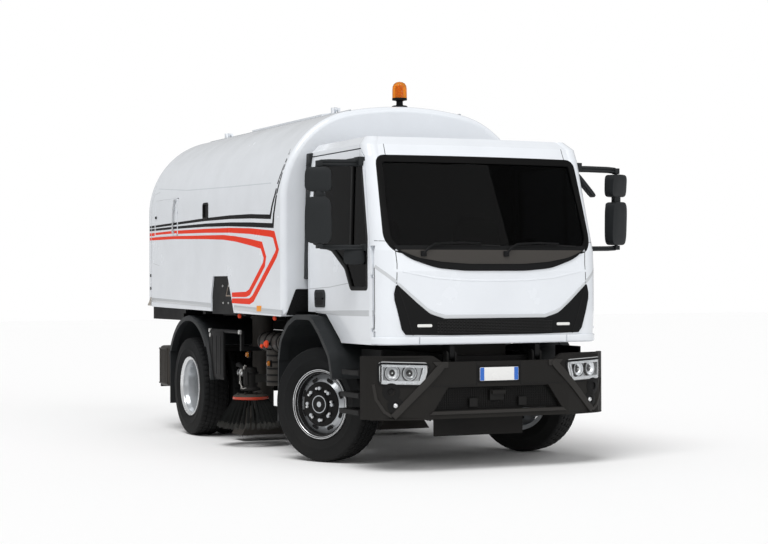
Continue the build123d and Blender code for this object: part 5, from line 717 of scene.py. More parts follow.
# A lighter copy of the bumper's grey on the ribs and the foot lip: a painted highlight on their raised edges.
rib_highlight_grey = make_finish("bumper_rib_highlight_grey", moulded, (0.023, 0.0215, 0.02), specular=0.2)
moulding = bmesh.new()
moulding.from_mesh(cad_nodes["bumper"].data)
bmesh.ops.scale(moulding, vec=(1000, 1000, 1000), verts=moulding.verts)
bmesh.ops.dissolve_limit(moulding, angle_limit=0.02, verts=moulding.verts[:], edges=moulding.edges[:])
for vert in moulding.verts:
    vert.co = swept_back(*vert.co)
new_piece("bumper_moulding", moulding, bumper_grey, "chassis", "bumper_grey", 7, 3, crease=42, replaces="bumper")
bumper_piece(
    "bumper_ribs",
    twice(band, [(505, 884), (560, 836), (940, 458)], [40, 62, 52], -4, 13)
    + twice(slab, softened([(470, 900), (610, 900), (560, 850), (470, 850)], 14, True), -3, 8)
    + twice(band, [(1102, 724), (1078, 600), (1010, 500), (950, 462)], 24, -3, 8),
    rib_highlight_grey, bevel=5,
)
bumper_piece(
    "bumper_joints",
    twice(band, [(205, 892), (205, 704)], 8, -1, 0.8)
    + twice(band, [(205, 704), (620, 704)], 7, -1, 0.8)
    + twice(band, [(820, 704), (1090, 704)], 5, -1, 0.8),
    seam_black,
)
foot_lip = softened([(-640, 470), (640, 470), (606, 496), (-606, 496)], 8, True)
bumper_piece("bumper_lip", [(slab, foot_lip, -2, 10)], rib_highlight_grey, bevel=5)
bumper_piece(
    "bumper_edges",
    twice(band, [(640, 944), (1120, 944)], 18, -6, 4) + twice(band, [(640, 438), (1135, 438)], 12, -6, 5),
    bumper_grey, bevel=4,
)
mouth = [(block, (0, -46, 512 + k * 20), (1160 - k * 16, 6, 3)) for k in range(9)]
mouth += [(block, (k * 20, -46, 596), (3, 6, 176)) for k in range(-28, 29)]
mouth += [(block, (0, -52, 596), (1180, 4, 190)), (block, (-12, -30, 618), (126, 30, 84))]
mouth += [(block, (s * 230, -30, 560), (70, 26, 70)) for s in (-1, 1)]
bumper_piece("mouth_insert", mouth, black_finish("mouth_black", 0.0035, 0.2), "black_plastic", cuts=())

# ======== Number plate ========
# A blank pressed plate, white with a blue band at each end, in a black plastic carrier.
plate_white = make_finish("plate_white", sprayed, (0.78, 0.78, 0.77), coat=0.2)
plate_blue = make_finish("plate_blue", sprayed, (0.012, 0.12, 0.5), coat=0.2)
bumper_piece("number_plate", [(slab, soft_box(-180, 737, 180, 847, 8), 3, 6)], plate_white, "white_paint", 1)
end_bands = twice(slab, soft_box(140, 739, 178, 845, 5), 5.6, 6.6)
bumper_piece("number_plate_bands", end_bands, plate_blue, "white_paint")
bumper_piece("number_plate_carrier", [(slab, soft_box(-196, 724, 196, 860, 10), -2, 4)], trim_black, bevel=1.5)


# ======== Headlamps and fog lamps ========
# A silvered shell with two bowls behind a clear cover, in a black bezel; below it a blanked fog lamp and a clear one.
def turned(form, profile, steps, matrix=None, closed=False, ripple=None):
    """A profile of (radius, along X) spun about X; ripple(radius, along, step) may change a radius at a step."""
    rings = []
    for step in range(steps):
        angle = math.tau * step / steps
        radii = [(ripple(r, along, step) if ripple else r, along) for r, along in profile]
        rings.append([form.verts.new((along, -r * math.sin(angle), r * math.cos(angle))) for r, along in radii])
    made = [vert for ring in rings for vert in ring]
    for ring, following in zip(rings, rings[1:] + rings[:1]):
        for i in range(0 if closed else 1, len(profile)):
            form.faces.new((ring[i - 1], ring[i], following[i], following[i - 1]))
    if matrix:
        bmesh.ops.transform(form, matrix=matrix, verts=made)
    bmesh.ops.remove_doubles(form, verts=made, dist=0.01)


def lengthways(*at):
    """Where a turned shape stands with its axis along the truck."""
    return Matrix.Translation(at) @ Matrix.Rotation(math.pi / 2, 4, "Z")


silver_paint = make_finish("reflector_silver", brushed, (0.82, 0.83, 0.84), metallic=1.0)
shell_silver = make_finish("lamp_shell_silver", sprayed, (0.6, 0.61, 0.62), metallic=0.2, coat=0.3)
bulb_glass = make_finish("bulb_glass", sprayed, (0.85, 0.85, 0.83), coat=0.5)
clear_lens = make_pane("clear_lens", (0.97, 0.98, 0.99), 0.03, 1.0, 0.4)
HEADLAMP = softened([(664, 876), (1044, 888), (1044, 734), (706, 724)], 22, True)
HEADLAMP_RIM = softened([(632, 882), (1062, 896), (1058, 718), (682, 708)], 40, True)
bezels = twice(band, HEADLAMP_RIM, 17, -6, 8, True)
bowls, pupils, bulbs = [], [], []
for s in (-1, 1):
    for u, z, radius in ((s * 945, 814, 58), (s * 800, 810, 54)):
        at = lengthways(u, -22, z)
        bowl = [(26, -16), (40, -10), (radius - 8, 0), (radius - 4, 8), (radius, 8), (radius, -16)]
        ring = [(radius + 5, 6), (radius + 9, 6), (radius + 9, -16), (radius + 5, -16)]
        bowls.append((turned, bowl, 40, at))
        bezels.append((turned, ring, 40, at, True))
        pupils.append((turned, [(0.5, 2), (12, 0), (22, -6), (27, -16)], 32, at))
        bulbs.append((turned, [(0.5, 6), (5, 5), (7, 0)], 16, at))
    bezels += [(block, (s * (850 + 22 * k), -24, 744), (9, 8, 7)) for k in range(-3, 4)]
    for u, z, radius in ((s * 955, 662, 36), (s * 920, 550, 30)):
        at = lengthways(u, -14, z)
        ring = [(radius - 5, 2), (radius - 3, 22), (radius + 8, 22), (radius + 36, 18), (radius + 36, 2)]
        bezels.append((turned, ring, 40, at, True))
        bezels.append((turned, [(0.5, 12), (radius - 5, 12), (radius - 5, 2), (0.5, 2)], 40, at, True))
    bowls.append((turned, [(2, 4), (14, 2), (22, -6), (26, -18)], 32, lengthways(s * 920, 6, 550)))
shells = twice(slab, HEADLAMP, -44, -38) + twice(band, HEADLAMP, 8, -40, -8, True)
bumper_piece("headlamp_covers", twice(slab, HEADLAMP, 4, 8), clear_lens, "lamp_lens", 1, replaces="lamps")
for name, shapes, finish in (
    ("shells", shells, shell_silver),
    ("bowls", bowls, silver_paint),
    ("bulbs", bulbs, bulb_glass),
    ("bezels", bezels, trim_black),
    ("frames", twice(band, HEADLAMP, 44, -6, 3, True), shell_silver),
    ("pupils", pupils, black_finish("lens_dark", 0.012, 0.6)),
):
    bumper_piece(f"headlamp_{name}", shapes, finish, "steel")

# ======== Tail lamps ========
# A black moulded body on each side of the rear bar with three screwed-on lenses: amber, red and clear.
amber_lens = make_pane("amber_lens", (0.85, 0.28, 0.02), 0.1, 0.7, 0.5)
red_lens = make_pane("red_lens", (0.5, 0.012, 0.01), 0.12, 0.6, 0.5)
REAR_AXLE = 1520
LAMP_Y = REAR_AXLE + 1220
for sign, side in SIDES:
    body = [(block, (sign * 985, LAMP_Y, 520), (300, 76, 118))]
    new_piece(f"tail_lamp_body_{side}", body, trim_black, "chassis", "black_plastic", 8, 3)
    for k, lens in enumerate((amber_lens, red_lens, clear_lens)):
        shapes = [(block, (sign * (1077 - k * 92), LAMP_Y + 40, 520), (88, 14, 96))]
        slot = "lamp_lens" if k else "amber_lens"
        new_piece(f"tail_lens_{k}_{side}", shapes, lens, "chassis", slot, 4, 3)


# ======== Hopper shell and stripes ========
# Welded steel body and doors in gloss white, flat to the shoulders, then rolled over a large radius to a shallow
# crown. Cut vinyl film is laid on the paint: two black lines turn up behind the front corner and two orange-red
# ones fold back under them. The film is slit where the side door and the tailgate part.
SIDE_X, SHOULDER_Z, SHOULDER_RADIUS = 1240, 2300, 825
CROWN_Z, CROWN_RADIUS = 167.2, 2997.8
CROWN_STARTS = 1.37863  # turn at which the shoulder runs into the crown
CROWN_LEAN = 0.19217  # of the crown's own radius from upright there


def on_hopper(sign):
    """Place on the hopper: y back from the front axle, d out of the skin, s up the side and on over the roof."""
    def place(y, d, s):
        turn = (s - SHOULDER_Z) / SHOULDER_RADIUS
        if turn <= 0:
            x, z = SIDE_X + d, s
        elif turn < CROWN_STARTS:
            x = SIDE_X - SHOULDER_RADIUS + (SHOULDER_RADIUS + d) * math.cos(turn)
            z = SHOULDER_Z + (SHOULDER_RADIUS + d) * math.sin(turn)
        else:
            lean = CROWN_LEAN - (turn - CROWN_STARTS) * SHOULDER_RADIUS / CROWN_RADIUS
            x, z = (CROWN_RADIUS + d) * math.sin(lean), CROWN_Z + (CROWN_RADIUS + d) * math.cos(lean)
        return Vector((sign * x, y + FRONT_AXLE, z))
    return place


def crop(form, axis, low, high):
    """Only what lies between low and high along an axis, closed again at the cuts."""
    for at, way in ((low, -1), (high, 1)):
        out = Vector((0, 0, 0))
        out[axis] = 1
        whole = form.verts[:] + form.edges[:] + form.faces[:]
        cut = bmesh.ops.bisect_plane(form, geom=whole, plane_co=out * at, plane_no=out * way, clear_outer=True)
        edges = [item for item in cut["geom_cut"] if isinstance(item, bmesh.types.BMEdge)]
        bmesh.ops.holes_fill(form, edges=edges)


ONE_SKIN = ((-900, 4345, "hopper"),)


def hopper_bands(name, sign, side, lines, near, far, finish, slot="white_paint", zones=ONE_SKIN, bevel=0):
    """Bands on one side; each line is (points, widths), cut where the doors and the tailgate part."""
    for number, (low, high, body) in enumerate(zones):
        form = bmesh.new()
        for points, widths in lines:
            band(form, points, widths, near, far)
        crop(form, 0, low, high)
        if not form.faces:
            form.free()
            continue
        body = f"{body}_{side}" if body == "hopper_door" else body
        cuts, place = ((2, 70),), on_hopper(sign)
        new_piece(f"{name}_{number}_{side}", form, finish, body, slot, bevel, cuts=cuts, place=place)


paint(white, "hopper_sides hopper_roof hopper_front hopper_door_left hopper_door_right tailgate roof_hatch")
film_black = make_finish("film_black", sprayed, (0.0045, 0.0045, 0.0055), specular=0.04)
film_red = make_finish("film_red", sprayed, (0.8, 0.035, 0.006), specular=0.06)
TAILGATE_ZONE = (4357, 4408, "tailgate")
OVER_THE_DOOR = ((-900, 3420, "hopper"), (3450, 4211, "hopper_door"), (4219, 4345, "hopper"), TAILGATE_ZONE)
UNDER_THE_DOOR = (*ONE_SKIN, TAILGATE_ZONE)
upper_black = (
    [(4460, 2166), (3534, 2176), (2536, 2186), (1829, 2184), (1247, 2172), (725, 2148), (682, 2237), (598, 2359),
     (562, 2458), (531, 2545), (524, 2658), (560, 2780)],
    [24, 25, 30, 36, 41, 41, 33, 28, 24, 19, 12, 4],
)
lower_black = (
    [(4460, 2134), (3535, 2135), (2536, 2130), (1830, 2116), (1248, 2094), (659, 2066), (637, 2172), (576, 2321),
     (541, 2407), (512, 2493), (500, 2600), (522, 2740)],
    [24, 26, 33, 38, 43, 44, 35, 30, 26, 20, 12, 4],
)
outer_red = (
    [(4460, 2084), (3535, 2087), (2537, 2074), (1830, 2059), (1249, 2034), (720, 1996), (640, 1986), (548, 1850),
     (592, 1800), (1180, 1407), (1274, 1380), (1760, 1383)],
    [32, 34, 40, 47, 54, 60, 64, 60, 64, 66, 56, 46],
)
inner_red = (
    [(4460, 2038), (3536, 2032), (2538, 2010), (1993, 1995), (1633, 1970), (1250, 1931), (954, 1896), (865, 1785),
     (891, 1720), (1273, 1465), (1368, 1445), (1760, 1440)],
    [30, 32, 38, 46, 52, 60, 66, 60, 60, 58, 50, 44],
)
for sign, side in SIDES:
    for name, lines, finish, slot, zones in (
        ("black_stripe", [upper_black, lower_black], film_black, "chassis_black", OVER_THE_DOOR),
        ("red_stripe", [outer_red], film_red, "amber_lens", OVER_THE_DOOR),
        ("inner_red_stripe", [inner_red], film_red, "amber_lens", UNDER_THE_DOOR),
    ):
        hopper_bands(name, sign, side, lines, 0.1, 0.45, finish, slot, zones)

# ======== Hopper panel lines ========
# Pressed lines and joints in the sheet: the foot rail that closes the floor's edge, the break at the shoulder, the
# joint of the rear panel, and the gutter along the roof. The foot rail and the shoulder break are the white paint
# coloured grey, painted shade; the rear joint is a grey seam line, and the gutter is drawn in the same grey.
foot_rail_shade_grey = make_finish("foot_rail_painted_shade", sprayed, (0.5, 0.52, 0.54), coat=0.3)
shoulder_painted_shade = make_finish("shoulder_painted_shade", sprayed, (0.62, 0.66, 0.7), coat=0.3)
foot_rails = [([(4362, 1378), (2374, 1334)], [42, 44]), ([(1698, 1318), (444, 1286)], [44, 46])]
shoulder = [(4229, 2583), (3195, 2513), (1881, 2479), (736, 2455)]
rear_joint = [(4140, 2540), (4300, 2520), (4333, 2450), (4335, 1810), (4296, 1772), (4070, 1745)]
gutter = [(band, [(470, 3452), (4330, 3452)], 16, -1, 7)]
for sign, side in SIDES:
    hopper_bands("foot_rail", sign, side, foot_rails, -1, 2.5, foot_rail_shade_grey, bevel=1)
    hopper_bands("shoulder_break", sign, side, [(shoulder, 9)], -0.5, 0.7, shoulder_painted_shade)
    hopper_bands("rear_joint", sign, side, [(rear_joint, 5)], -0.5, 0.6, shade_and_seam_grey)
    cuts, place = ((0, 400),), on_hopper(sign)
    new_piece(f"roof_gutter_{side}", gutter, shade_and_seam_grey, "hopper", "white_paint", cuts=cuts, place=place)


# ======== Hopper side doors ========
# Each steel door has a lip that laps over its opening, a bright locking rod in three clips and a black knob.
def outwards(sign, at):
    """Where a turned shape stands with its axis out of the truck's side."""
    return Matrix.Translation(at) @ Matrix.Rotation(0 if sign > 0 else math.pi, 4, "Z")


rim_silver = make_finish("rim_silver", sprayed, (0.5, 0.52, 0.54), metallic=0.55)
door_lip = [(band, [(3472, 2432), (4213, 2432), (4213, 2065), (3472, 2065)], 22, -1, 1.2)]
for sign, side in SIDES:
    skin, door = on_hopper(sign), f"hopper_door_{side}"
    new_piece(f"side_door_lip_{side}", door_lip, white, door, "white_paint", cuts=((2, 60),), place=skin)
    rod = [(bar, [skin(y, 16, s) for y, s in ((3512, 2428), (3532, 2330), (3548, 2200), (3560, 2088))], 9)]
    rod += [(block, skin(y, 7, s), (20, 44, 26)) for y, s in ((3514, 2418), (3532, 2330), (3559, 2092))]
    new_piece(f"side_door_rod_{side}", rod, rim_silver, door, "steel", 2)
    knob = [(turned, [(0.5, 0), (15, 0), (15, 9), (11, 14), (0.5, 15)], 24, outwards(sign, skin(4168, 0, 2261)))]
    new_piece(f"side_door_knob_{side}", knob, trim_black, door, "black_plastic")

# ======== Hopper seals, covers and small plates ========
# Rubber seals round the sight window and the tailgate, clips and a bolted gusset at the tailgate's foot; moulded
# covers in the pockets over the lifting points, each with bolts and a warning outline; an amber marker in front.
paint(trim_black, "hopper_covers")
gusset_beige = make_finish("gusset_beige", sprayed, (0.36, 0.33, 0.29))
worn_beige = make_finish("worn_beige", sprayed, (0.2, 0.15, 0.11))
marker_yellow = make_finish("side_marker_yellow", sprayed, (0.85, 0.32, 0.03), specular=0.2)
window = [(band, soft_box(2455, 2197, 2605, 2343, 26), 20, -8, 5, True)]
gate_seal = [(band, [(4348, s) for s in (1345, 2300, 2900, 3430, 4005)], 7, -26, -4)]
gusset = [(slab, softened([(4362, 1312), (4482, 1312), (4362, 1412)], 8, True), -1, 6)]
bolt = [(0.5, 10), (8, 10), (10, 7), (10, 0)]
gusset += [(turned, bolt, 6, lengthways(y, 5, s)) for y, s in ((4388, 1338), (4436, 1328))]
outline = [(band, [(1795, 1430), (1965, 1430), (1880, 1560)], 12, -20, -13.5, True)]
marker = [(slab, soft_box(962, 1290, 1074, 1342, 8), 0, 6)]
for sign, side in SIDES:
    skin = on_hopper(sign)
    clips = [(block, skin(4372, 3, s), (10, 22, 30)) for s in (1500, 1640)]
    bolts = [
        (turned, [(0.5, 9), (9, 9), (11, 6), (11, 0)], 6, outwards(sign, (sign * 1225, y + FRONT_AXLE, z)))
        for y, z in ((2044, 1640), (2054, 1524), (1880, 1524), (1890, 1360), (2040, 1360), (2020, 1700))
    ]
    for name, shapes, finish, body, slot, bevel, cuts, place in (
        ("sight_window_seal", window, seam_black, "hopper", "black_plastic", 0, ((2, 40),), skin),
        ("tailgate_seal", gate_seal, seam_black, "hopper", "black_plastic", 0, ((2, 60),), skin),
        ("tailgate_gusset", gusset, gusset_beige, "tailgate", "white_paint", 2, (), skin),
        ("tailgate_clips", clips, casting, "tailgate", "cast_metal", 2, (), None),
        ("cover_bolts", bolts, steel, "hopper", "steel", 0, (), None),
        ("cover_warning_outline", outline, worn_beige, "hopper", "service_brown", 0, (), skin),
        ("side_marker", marker, marker_yellow, "hopper", "amber_lens", 2, (), skin),
    ):
        new_piece(f"{name}_{side}", shapes, finish, body, slot, bevel, cuts=cuts, place=place)


# ======== Tyres ========
# Radial truck tyres: a moulded tread of staggered blocks between four grooves, shoulder slots, and raised rings
# on the side walls. The rear ones are twins.
def tread_cut(radius, along, step):
    """Slots across the shoulders every fourth step, and sipes between the middle blocks."""
    across = abs(along)
    if radius > 486 and across >= 80:
        return radius - (9 if step % 4 == 0 else 0)
    if radius > 490 and 27 <= across <= 71 and (step + (1 if along > 0 else 3)) % 4 == 0:
        return radius - 8
    return radius - (7 if radius > 497 and across < 19 and step % 4 == 2 else 0)


HALF_TYRE = [  # radius and distance from the middle, from the bead up the wall to the tread's middle
    (286, 105), (304, 106), (318, 114), (336, 124), (362, 133), (378, 136.6), (381, 138.3), (388, 138.3),
    (391, 136.6), (424, 135.5), (446, 132), (458, 131), (468, 128.6), (474, 129), (480, 126),
    (486, 120), (493, 108), (495, 84), (495, 80), (484, 78.5), (484, 71.5), (495.8, 70), (498, 30), (498, 27),
    (486, 26), (486, 19), (498, 18), (499, 8), (499, 0),
]
tyre_profile = HALF_TYRE + [(r, -x) for r, x in reversed(HALF_TYRE[:-1])]
STEER = math.radians(27.4)
KINGPIN_X, HUB_OUT, AXLE_Z = 936, 69, 500
front_wheels, rear_wheels = {}, {}
cured = surface_group("cured_rubber", "noise", 420, 0.0004, (0.62, 0.85), 0.8, 0.045)
tyre_black = make_finish("tyre_black", cured, (0.0078, 0.0084, 0.009), specular=0.14)
for sign, side in SIDES:
    swung = (sign * (KINGPIN_X + HUB_OUT * math.cos(STEER)), FRONT_AXLE + sign * HUB_OUT * math.sin(STEER), AXLE_Z)
    front_wheels[side] = Matrix.Translation(swung) @ Matrix.Rotation(STEER, 4, "Z") @ outwards(sign, (0, 0, 0))
    rear_wheels[side] = outwards(sign, (sign * 944, REAR_AXLE, AXLE_Z))
    for name, shifts, place, body, cad_tyre in (
        ("tyre_front_rubber", (0,), front_wheels[side], "wheel_front", "tyre_front"),
        ("tyres_rear_rubber", (-156, 156), rear_wheels[side], "wheels_rear", "tyres_rear"),
    ):
        tyres = [(turned, tyre_profile, 208, Matrix.Translation((x, 0, 0)), False, tread_cut) for x in shifts]
        body = f"{body}_{side}", "tyre_rubber"
        new_piece(f"{name}_{side}", tyres, tyre_black, *body, place=place, crease=30, replaces=f"{cad_tyre}_{side}")

# ======== Front wheels ========
# Pressed steel rims painted silver, with a rolled flange whose edge is a lighter silver, a painted highlight; the
# disc is dished out, with eight hand holes behind eight capped nuts, and a black cover over the hub. The nut tops
# carry the same painted highlight, and the hand holes, the barrel and the nuts' sides are painted shadow.
paint(rim_silver, "rim_front_left rim_front_right rim_rear_left rim_rear_right")
rim_shadow = black_finish("rim_shadow", 0.01, 0.1)
hub_black = black_finish("hub_cover_black", 0.0068, 0.1)
rim_highlight = make_finish("rim_edge_painted_highlight", sprayed, (0.72, 0.73, 0.74), metallic=0.6, coat=0.4)
TURNS = [math.radians(45 * k) for k in range(8)]


def round_the_hub(start, radius, along=0):
    """Eight places on a circle about the wheel's axle, the first turned by start degrees."""
    spoke = Matrix.Translation((along, 0, radius))
    return [Matrix.Rotation(turn + math.radians(start), 4, "X") @ spoke for turn in TURNS]


hand_hole = softened([(-30, -15), (30, -15), (34, 15), (-34, 15)], 14, True)
slant = Matrix.Rotation(math.radians(-22), 4, "Y") @ Matrix.Rotation(-math.pi / 2, 4, "Z")
holes = [(slab, hand_hole, 0, 3, at @ slant) for at in round_the_hub(22.5, 218, 76.5)]
nut_places = round_the_hub(11, 137.5)
nuts = [(turned, [(18, 104), (18, 114), (15, 118), (13, 118)], 16, at) for at in nut_places]
nut_tops = [(turned, [(12.5, 112), (12.5, 126), (10, 132), (0.5, 134)], 16, at) for at in nut_places]
hub_cover = [
    (190, 84), (194, 92), (192, 98), (170, 103), (112, 109.5), (106, 112), (101, 122), (99, 127), (94, 129),
    (80, 129), (76, 124), (20, 122), (0.5, 122),
]
hub_centre = [(74, 124.5), (60, 126), (24, 125), (20, 119.5), (0.5, 119)]
for side, wheel in front_wheels.items():
    for name, shapes, finish, slot in (
        ("flange", [
            (turned, [(299, 106), (302, 110), (302, 119), (299, 123), (295, 123), (293.5, 120)], 96),
            (turned, [(287, 115.5), (285, 116), (282, 113.5)], 96),
        ], rim_highlight, "rim_silver"),
        ("hand_holes", holes, rim_shadow, "rim_silver"),
        ("barrel_shade", [
            (turned, [(269.5, 105), (266, 80), (264, 44)], 72),
            (turned, [(293.5, 120), (287, 115.5)], 96),
            (turned, [(282, 113.5), (274, 109.5), (270, 106), (268, 98)], 96),
            (turned, [(262, 43), (258, 44), (252, 45)], 72),
        ], rim_shadow, "rim_silver"),
        ("hub_cover", [(turned, hub_cover, 72)], hub_black, "black_plastic"),
        ("hub_centre", [(turned, hub_centre, 40)], rim_shadow, "black_plastic"),
        ("nuts", nuts, rim_shadow, "steel"),
        ("nut_tops", nut_tops, rim_highlight, "steel"),
    ):
        new_piece(f"front_{name}_{side}", shapes, finish, f"wheel_front_{side}", slot, place=wheel)

# ======== Rear wheels ========
# The same rims turned about, so that the disc is dished in, with eight long nuts round the axle's hub.
rear_flange = [
    (299, 262), (302, 266), (302, 275), (298, 279), (292, 278), (286, 270), (280, 267), (274, 264), (270, 259),
    (268, 250),
]
rear_dish = [
    (267.6, 256), (266, 236), (257, 224), (250, 200), (247, 120), (240, 62), (228, 40), (205, 21), (168, 17.5),
]
rear_nut = [(19, 30), (19, 38), (15, 54), (11, 60), (0.5, 61)]
rear_hub = [(119, 30), (116, 60), (106, 132), (98, 150), (88, 154), (20, 154), (0.5, 154)]
rear_hole = [(0.5, 21.5), (24, 21.5), (26, 19)]
rear_nuts = [(turned, rear_nut, 16, at) for at in round_the_hub(20, 137.5)] + [(turned, rear_hub, 48)]
rear_holes = [(turned, rear_hole, 20, at) for at in round_the_hub(22.5, 196)]
# The flange's lighter silver is the same painted highlight, and the hand holes are painted shadow.
for side, wheel in rear_wheels.items():
    for name, shapes, finish, slot in (
        ("flange", [(turned, rear_flange, 96)], rim_highlight, "rim_silver"),
        ("dish", [(turned, rear_dish, 96)], rim_silver, "rim_silver"),
        ("nuts", rear_nuts, steel, "steel"),
        ("hand_holes", rear_holes, rim_shadow, "rim_silver"),
    ):
        new_piece(f"rear_{name}_{side}", shapes, finish, f"wheels_rear_{side}", slot, place=wheel)

# ======== Gutter brushes ========
# A bolted iron disc with a painted rim holds tufts of drawn steel and nylon strands, splayed outwards by use; their
# tips are worn pale.
ring_red = make_finish("brush_rim_red", sprayed, (0.42, 0.045, 0.022), specular=0.3)
disc_iron = make_finish("brush_plate", cast, (0.035, 0.031, 0.027), specular=0.2)
bristle = make_finish("bristle", cured, (0.013, 0.0145, 0.0145), specular=0.15)
tip_grey = make_finish("bristle_tips", cured, (0.06, 0.06, 0.057), specular=0.15)
UPRIGHT = Matrix.Rotation(-math.pi / 2, 4, "Y")
brush_rim = [(150, 441), (166, 441), (172, 446), (172, 462), (166, 468), (150, 468)]
disc_profile = [
    (24, 500), (60, 500), (66, 494), (110, 492), (150, 486), (164, 478), (166, 468), (150, 466), (24, 466),
]


def ring_point(radius, turn, z):
    return Vector((radius * math.cos(turn), radius * math.sin(turn), z))


brush_places = {side: Matrix.Translation((sign * 1075, FRONT_AXLE + 1700, 0)) for sign, side in SIDES}
for sign, side in SIDES:
    disc = [(turned, disc_profile, 72, UPRIGHT, True)]
    disc += [(block, ring_point(130, turn, 494), (22, 22, 12)) for turn in TURNS]
    strands, tips = [], []
    for tuft in range(34):
        around = math.tau * tuft / 34
        length = 292 + 26 * noise.noise(Vector((tuft * 1.7, 3.1 * sign, 0)))
        for strand in range(26):
            row, column = strand % 5, strand // 5
            seed = Vector((tuft * 5.3 + strand * 0.91, strand * 1.37, sign * 2.0))
            wander = Vector([noise.noise(seed + Vector((0, 0, 7.3 * axis))) for axis in range(3)])
            spread = around + wander.x * 0.105
            root = 138 + 5.5 * row
            tip = min(323, length + (row - 2) * 13 + wander.y * 22)
            low = max(166, 186 + wander.z * 26 + (tip - 290) * 0.35)
            start = ring_point(root, around + (column - 2) * 0.014, 446)
            bend = ring_point((root + tip) / 2, around + (spread - around) * 0.6, 442 + (low - 442) * 0.45)
            near_tip = ring_point(root + (tip - root) * 0.86, spread, 442 + (low - 442) * 0.85)
            strands.append((bar, [start, bend, near_tip], 4.2, 3))
            tips.append((bar, [near_tip, ring_point(tip, spread, low)], 4.0, 3))
    place, brush = brush_places[side], f"brush_{side}"
    for name, shapes, finish, slot, bevel, cad_brush in (
        ("rim", [(turned, brush_rim, 72, UPRIGHT, True)], ring_red, "amber_lens", 0, None),
        ("disc", disc, disc_iron, "steel", 2, brush),
        ("strands", strands, bristle, "brush_bristle", 0, None),
        ("tips", tips, tip_grey, "brush_bristle", 0, None),
    ):
        new_piece(f"brush_{name}_{side}", shapes, finish, brush, slot, bevel, place=place, replaces=cad_brush)

# ======== Brush motors and their pipes ========
# Each brush hangs from a level head with a hydraulic motor, a bright accumulator beside it, and bent steel pipes
# screwed into the motor's ports. All of it moves with the head.
pipe_steel = make_finish("zinc_pipe", brushed, (0.4, 0.39, 0.37), metallic=0.8)
motor_profile = [
    (0.5, 748), (40, 748), (58, 742), (64, 728), (64, 706), (70, 702), (70, 690), (64, 686), (64, 560), (88, 552),
    (96, 540), (96, 526), (30, 520), (0.5, 520),
]
motor = [(turned, motor_profile, 48, UPRIGHT)]
for turn in (math.tau * (k + 0.5) / 4 for k in range(4)):
    motor += [(block, ring_point(62, turn, 640), (22, 22, 120)), (block, ring_point(74, turn, 696), (16, 16, 22))]
flask_profile = [(0.5, 0), (22, 4), (36, 16), (38, 30), (38, 96), (34, 106), (20, 112), (0.5, 113)]
for s, side in SIDES:
    flask = [(turned, flask_profile, 36, lengthways(s * 20, 130, 690))]
    stay = [(s * 40, 250, 760), (s * 44, 200, 768), (s * 40, 130, 742), (s * 28, 90, 706)]
    bracket = [(block, (0, 100, 680), (60, 90, 14)), (block, (s * 30, 180, 660), (60, 8, 110)), (bar, stay, 20)]
    pipes = [
        (bar, [(s * 66, 60, 720), (s * 84, 66, 690), (s * 90, 40, 600), (s * 84, 10, 548)], 6),
        (bar, [(s * 84, 10, 548), (s * 96, -60, 546), (s * 92, -120, 556)], 6),
    ]
    for at in ((s * 66, 60, 716), (s * 90, 40, 600), (s * 84, 10, 550), (s * 70, -20, 744), (s * 40, 30, 754)):
        pipes.append((turned, [(0.5, -13), (12, -13), (12, 13), (0.5, 13)], 6, Matrix.Translation(at) @ UPRIGHT))
    for name, shapes, finish, slot, bevel in (
        ("motor", motor, chassis_black, "chassis_black", 3),
        ("accumulator", flask, silver_paint, "steel", 0),
        ("bracket", bracket, trim_black, "chassis_black", 0),
        ("pipes", pipes, pipe_steel, "steel", 0),
    ):
        place = brush_places[side]
        new_piece(f"brush_{name}_{side}", shapes, finish, f"brush_head_{side}", slot, bevel, place=place)

# ======== Mudguards ========
# Blow-moulded polyethylene, with a broad rolled edge over each rear wheel and ribs on the front flaps.
paint(mirror_grey, "front_mudguards rear_mudguards")
EDGE_SECTION = [(690, 1150), (716, 1150), (722, 1166), (722, 1222), (714, 1234), (700, 1236), (690, 1228)]


def rolled_edge(form, sign):
    """The edge's section of (radius, x) carried round the rear wheel from low in front to low behind."""
    rings = []
    for turn in (math.radians(8 + 148 * k / 40) for k in range(41)):
        ring = [(sign * x, REAR_AXLE - r * math.cos(turn), AXLE_Z + r * math.sin(turn)) for r, x in EDGE_SECTION]
        rings.append([form.verts.new(at) for at in ring])
    joined(form, rings)


for sign, side in SIDES:
    ribs = [(block, (sign * (660 + k * 125), FRONT_AXLE + 712, 520), (12, 10, 380)) for k in range(5)]
    new_piece(f"rear_guard_edge_{side}", [(rolled_edge, sign)], mirror_grey, "chassis", "black_plastic")
    new_piece(f"front_flap_ribs_{side}", ribs, trim_black, "chassis", "black_plastic")

# ======== Side panels and side bars ========
# Creased plastic panels ahead of the rear wheels, and the side guard's bars with bright end caps.
paint(trim_black, "side_guards")
bar_cap = [(0.5, 10), (20, 8), (22, 0), (22, -18)]
for sign, side in SIDES:
    panel = [(block, (sign * 1206, 718, 856), (14, 424, 452))]
    panel += [(block, (sign * 1212, 718 + dy, 846), (8, 26, 380)) for dy in (-120, 0, 120)]
    ends = ((60, 1085), (920, 1085), (900, 1040))
    caps = [(turned, bar_cap, 20, outwards(sign, (sign * 1208, y, z))) for y, z in ends]
    new_piece(f"side_panel_{side}", panel, trim_black, "chassis", "black_plastic", 5)
    new_piece(f"side_bar_caps_{side}", caps, steel, "chassis", "steel")

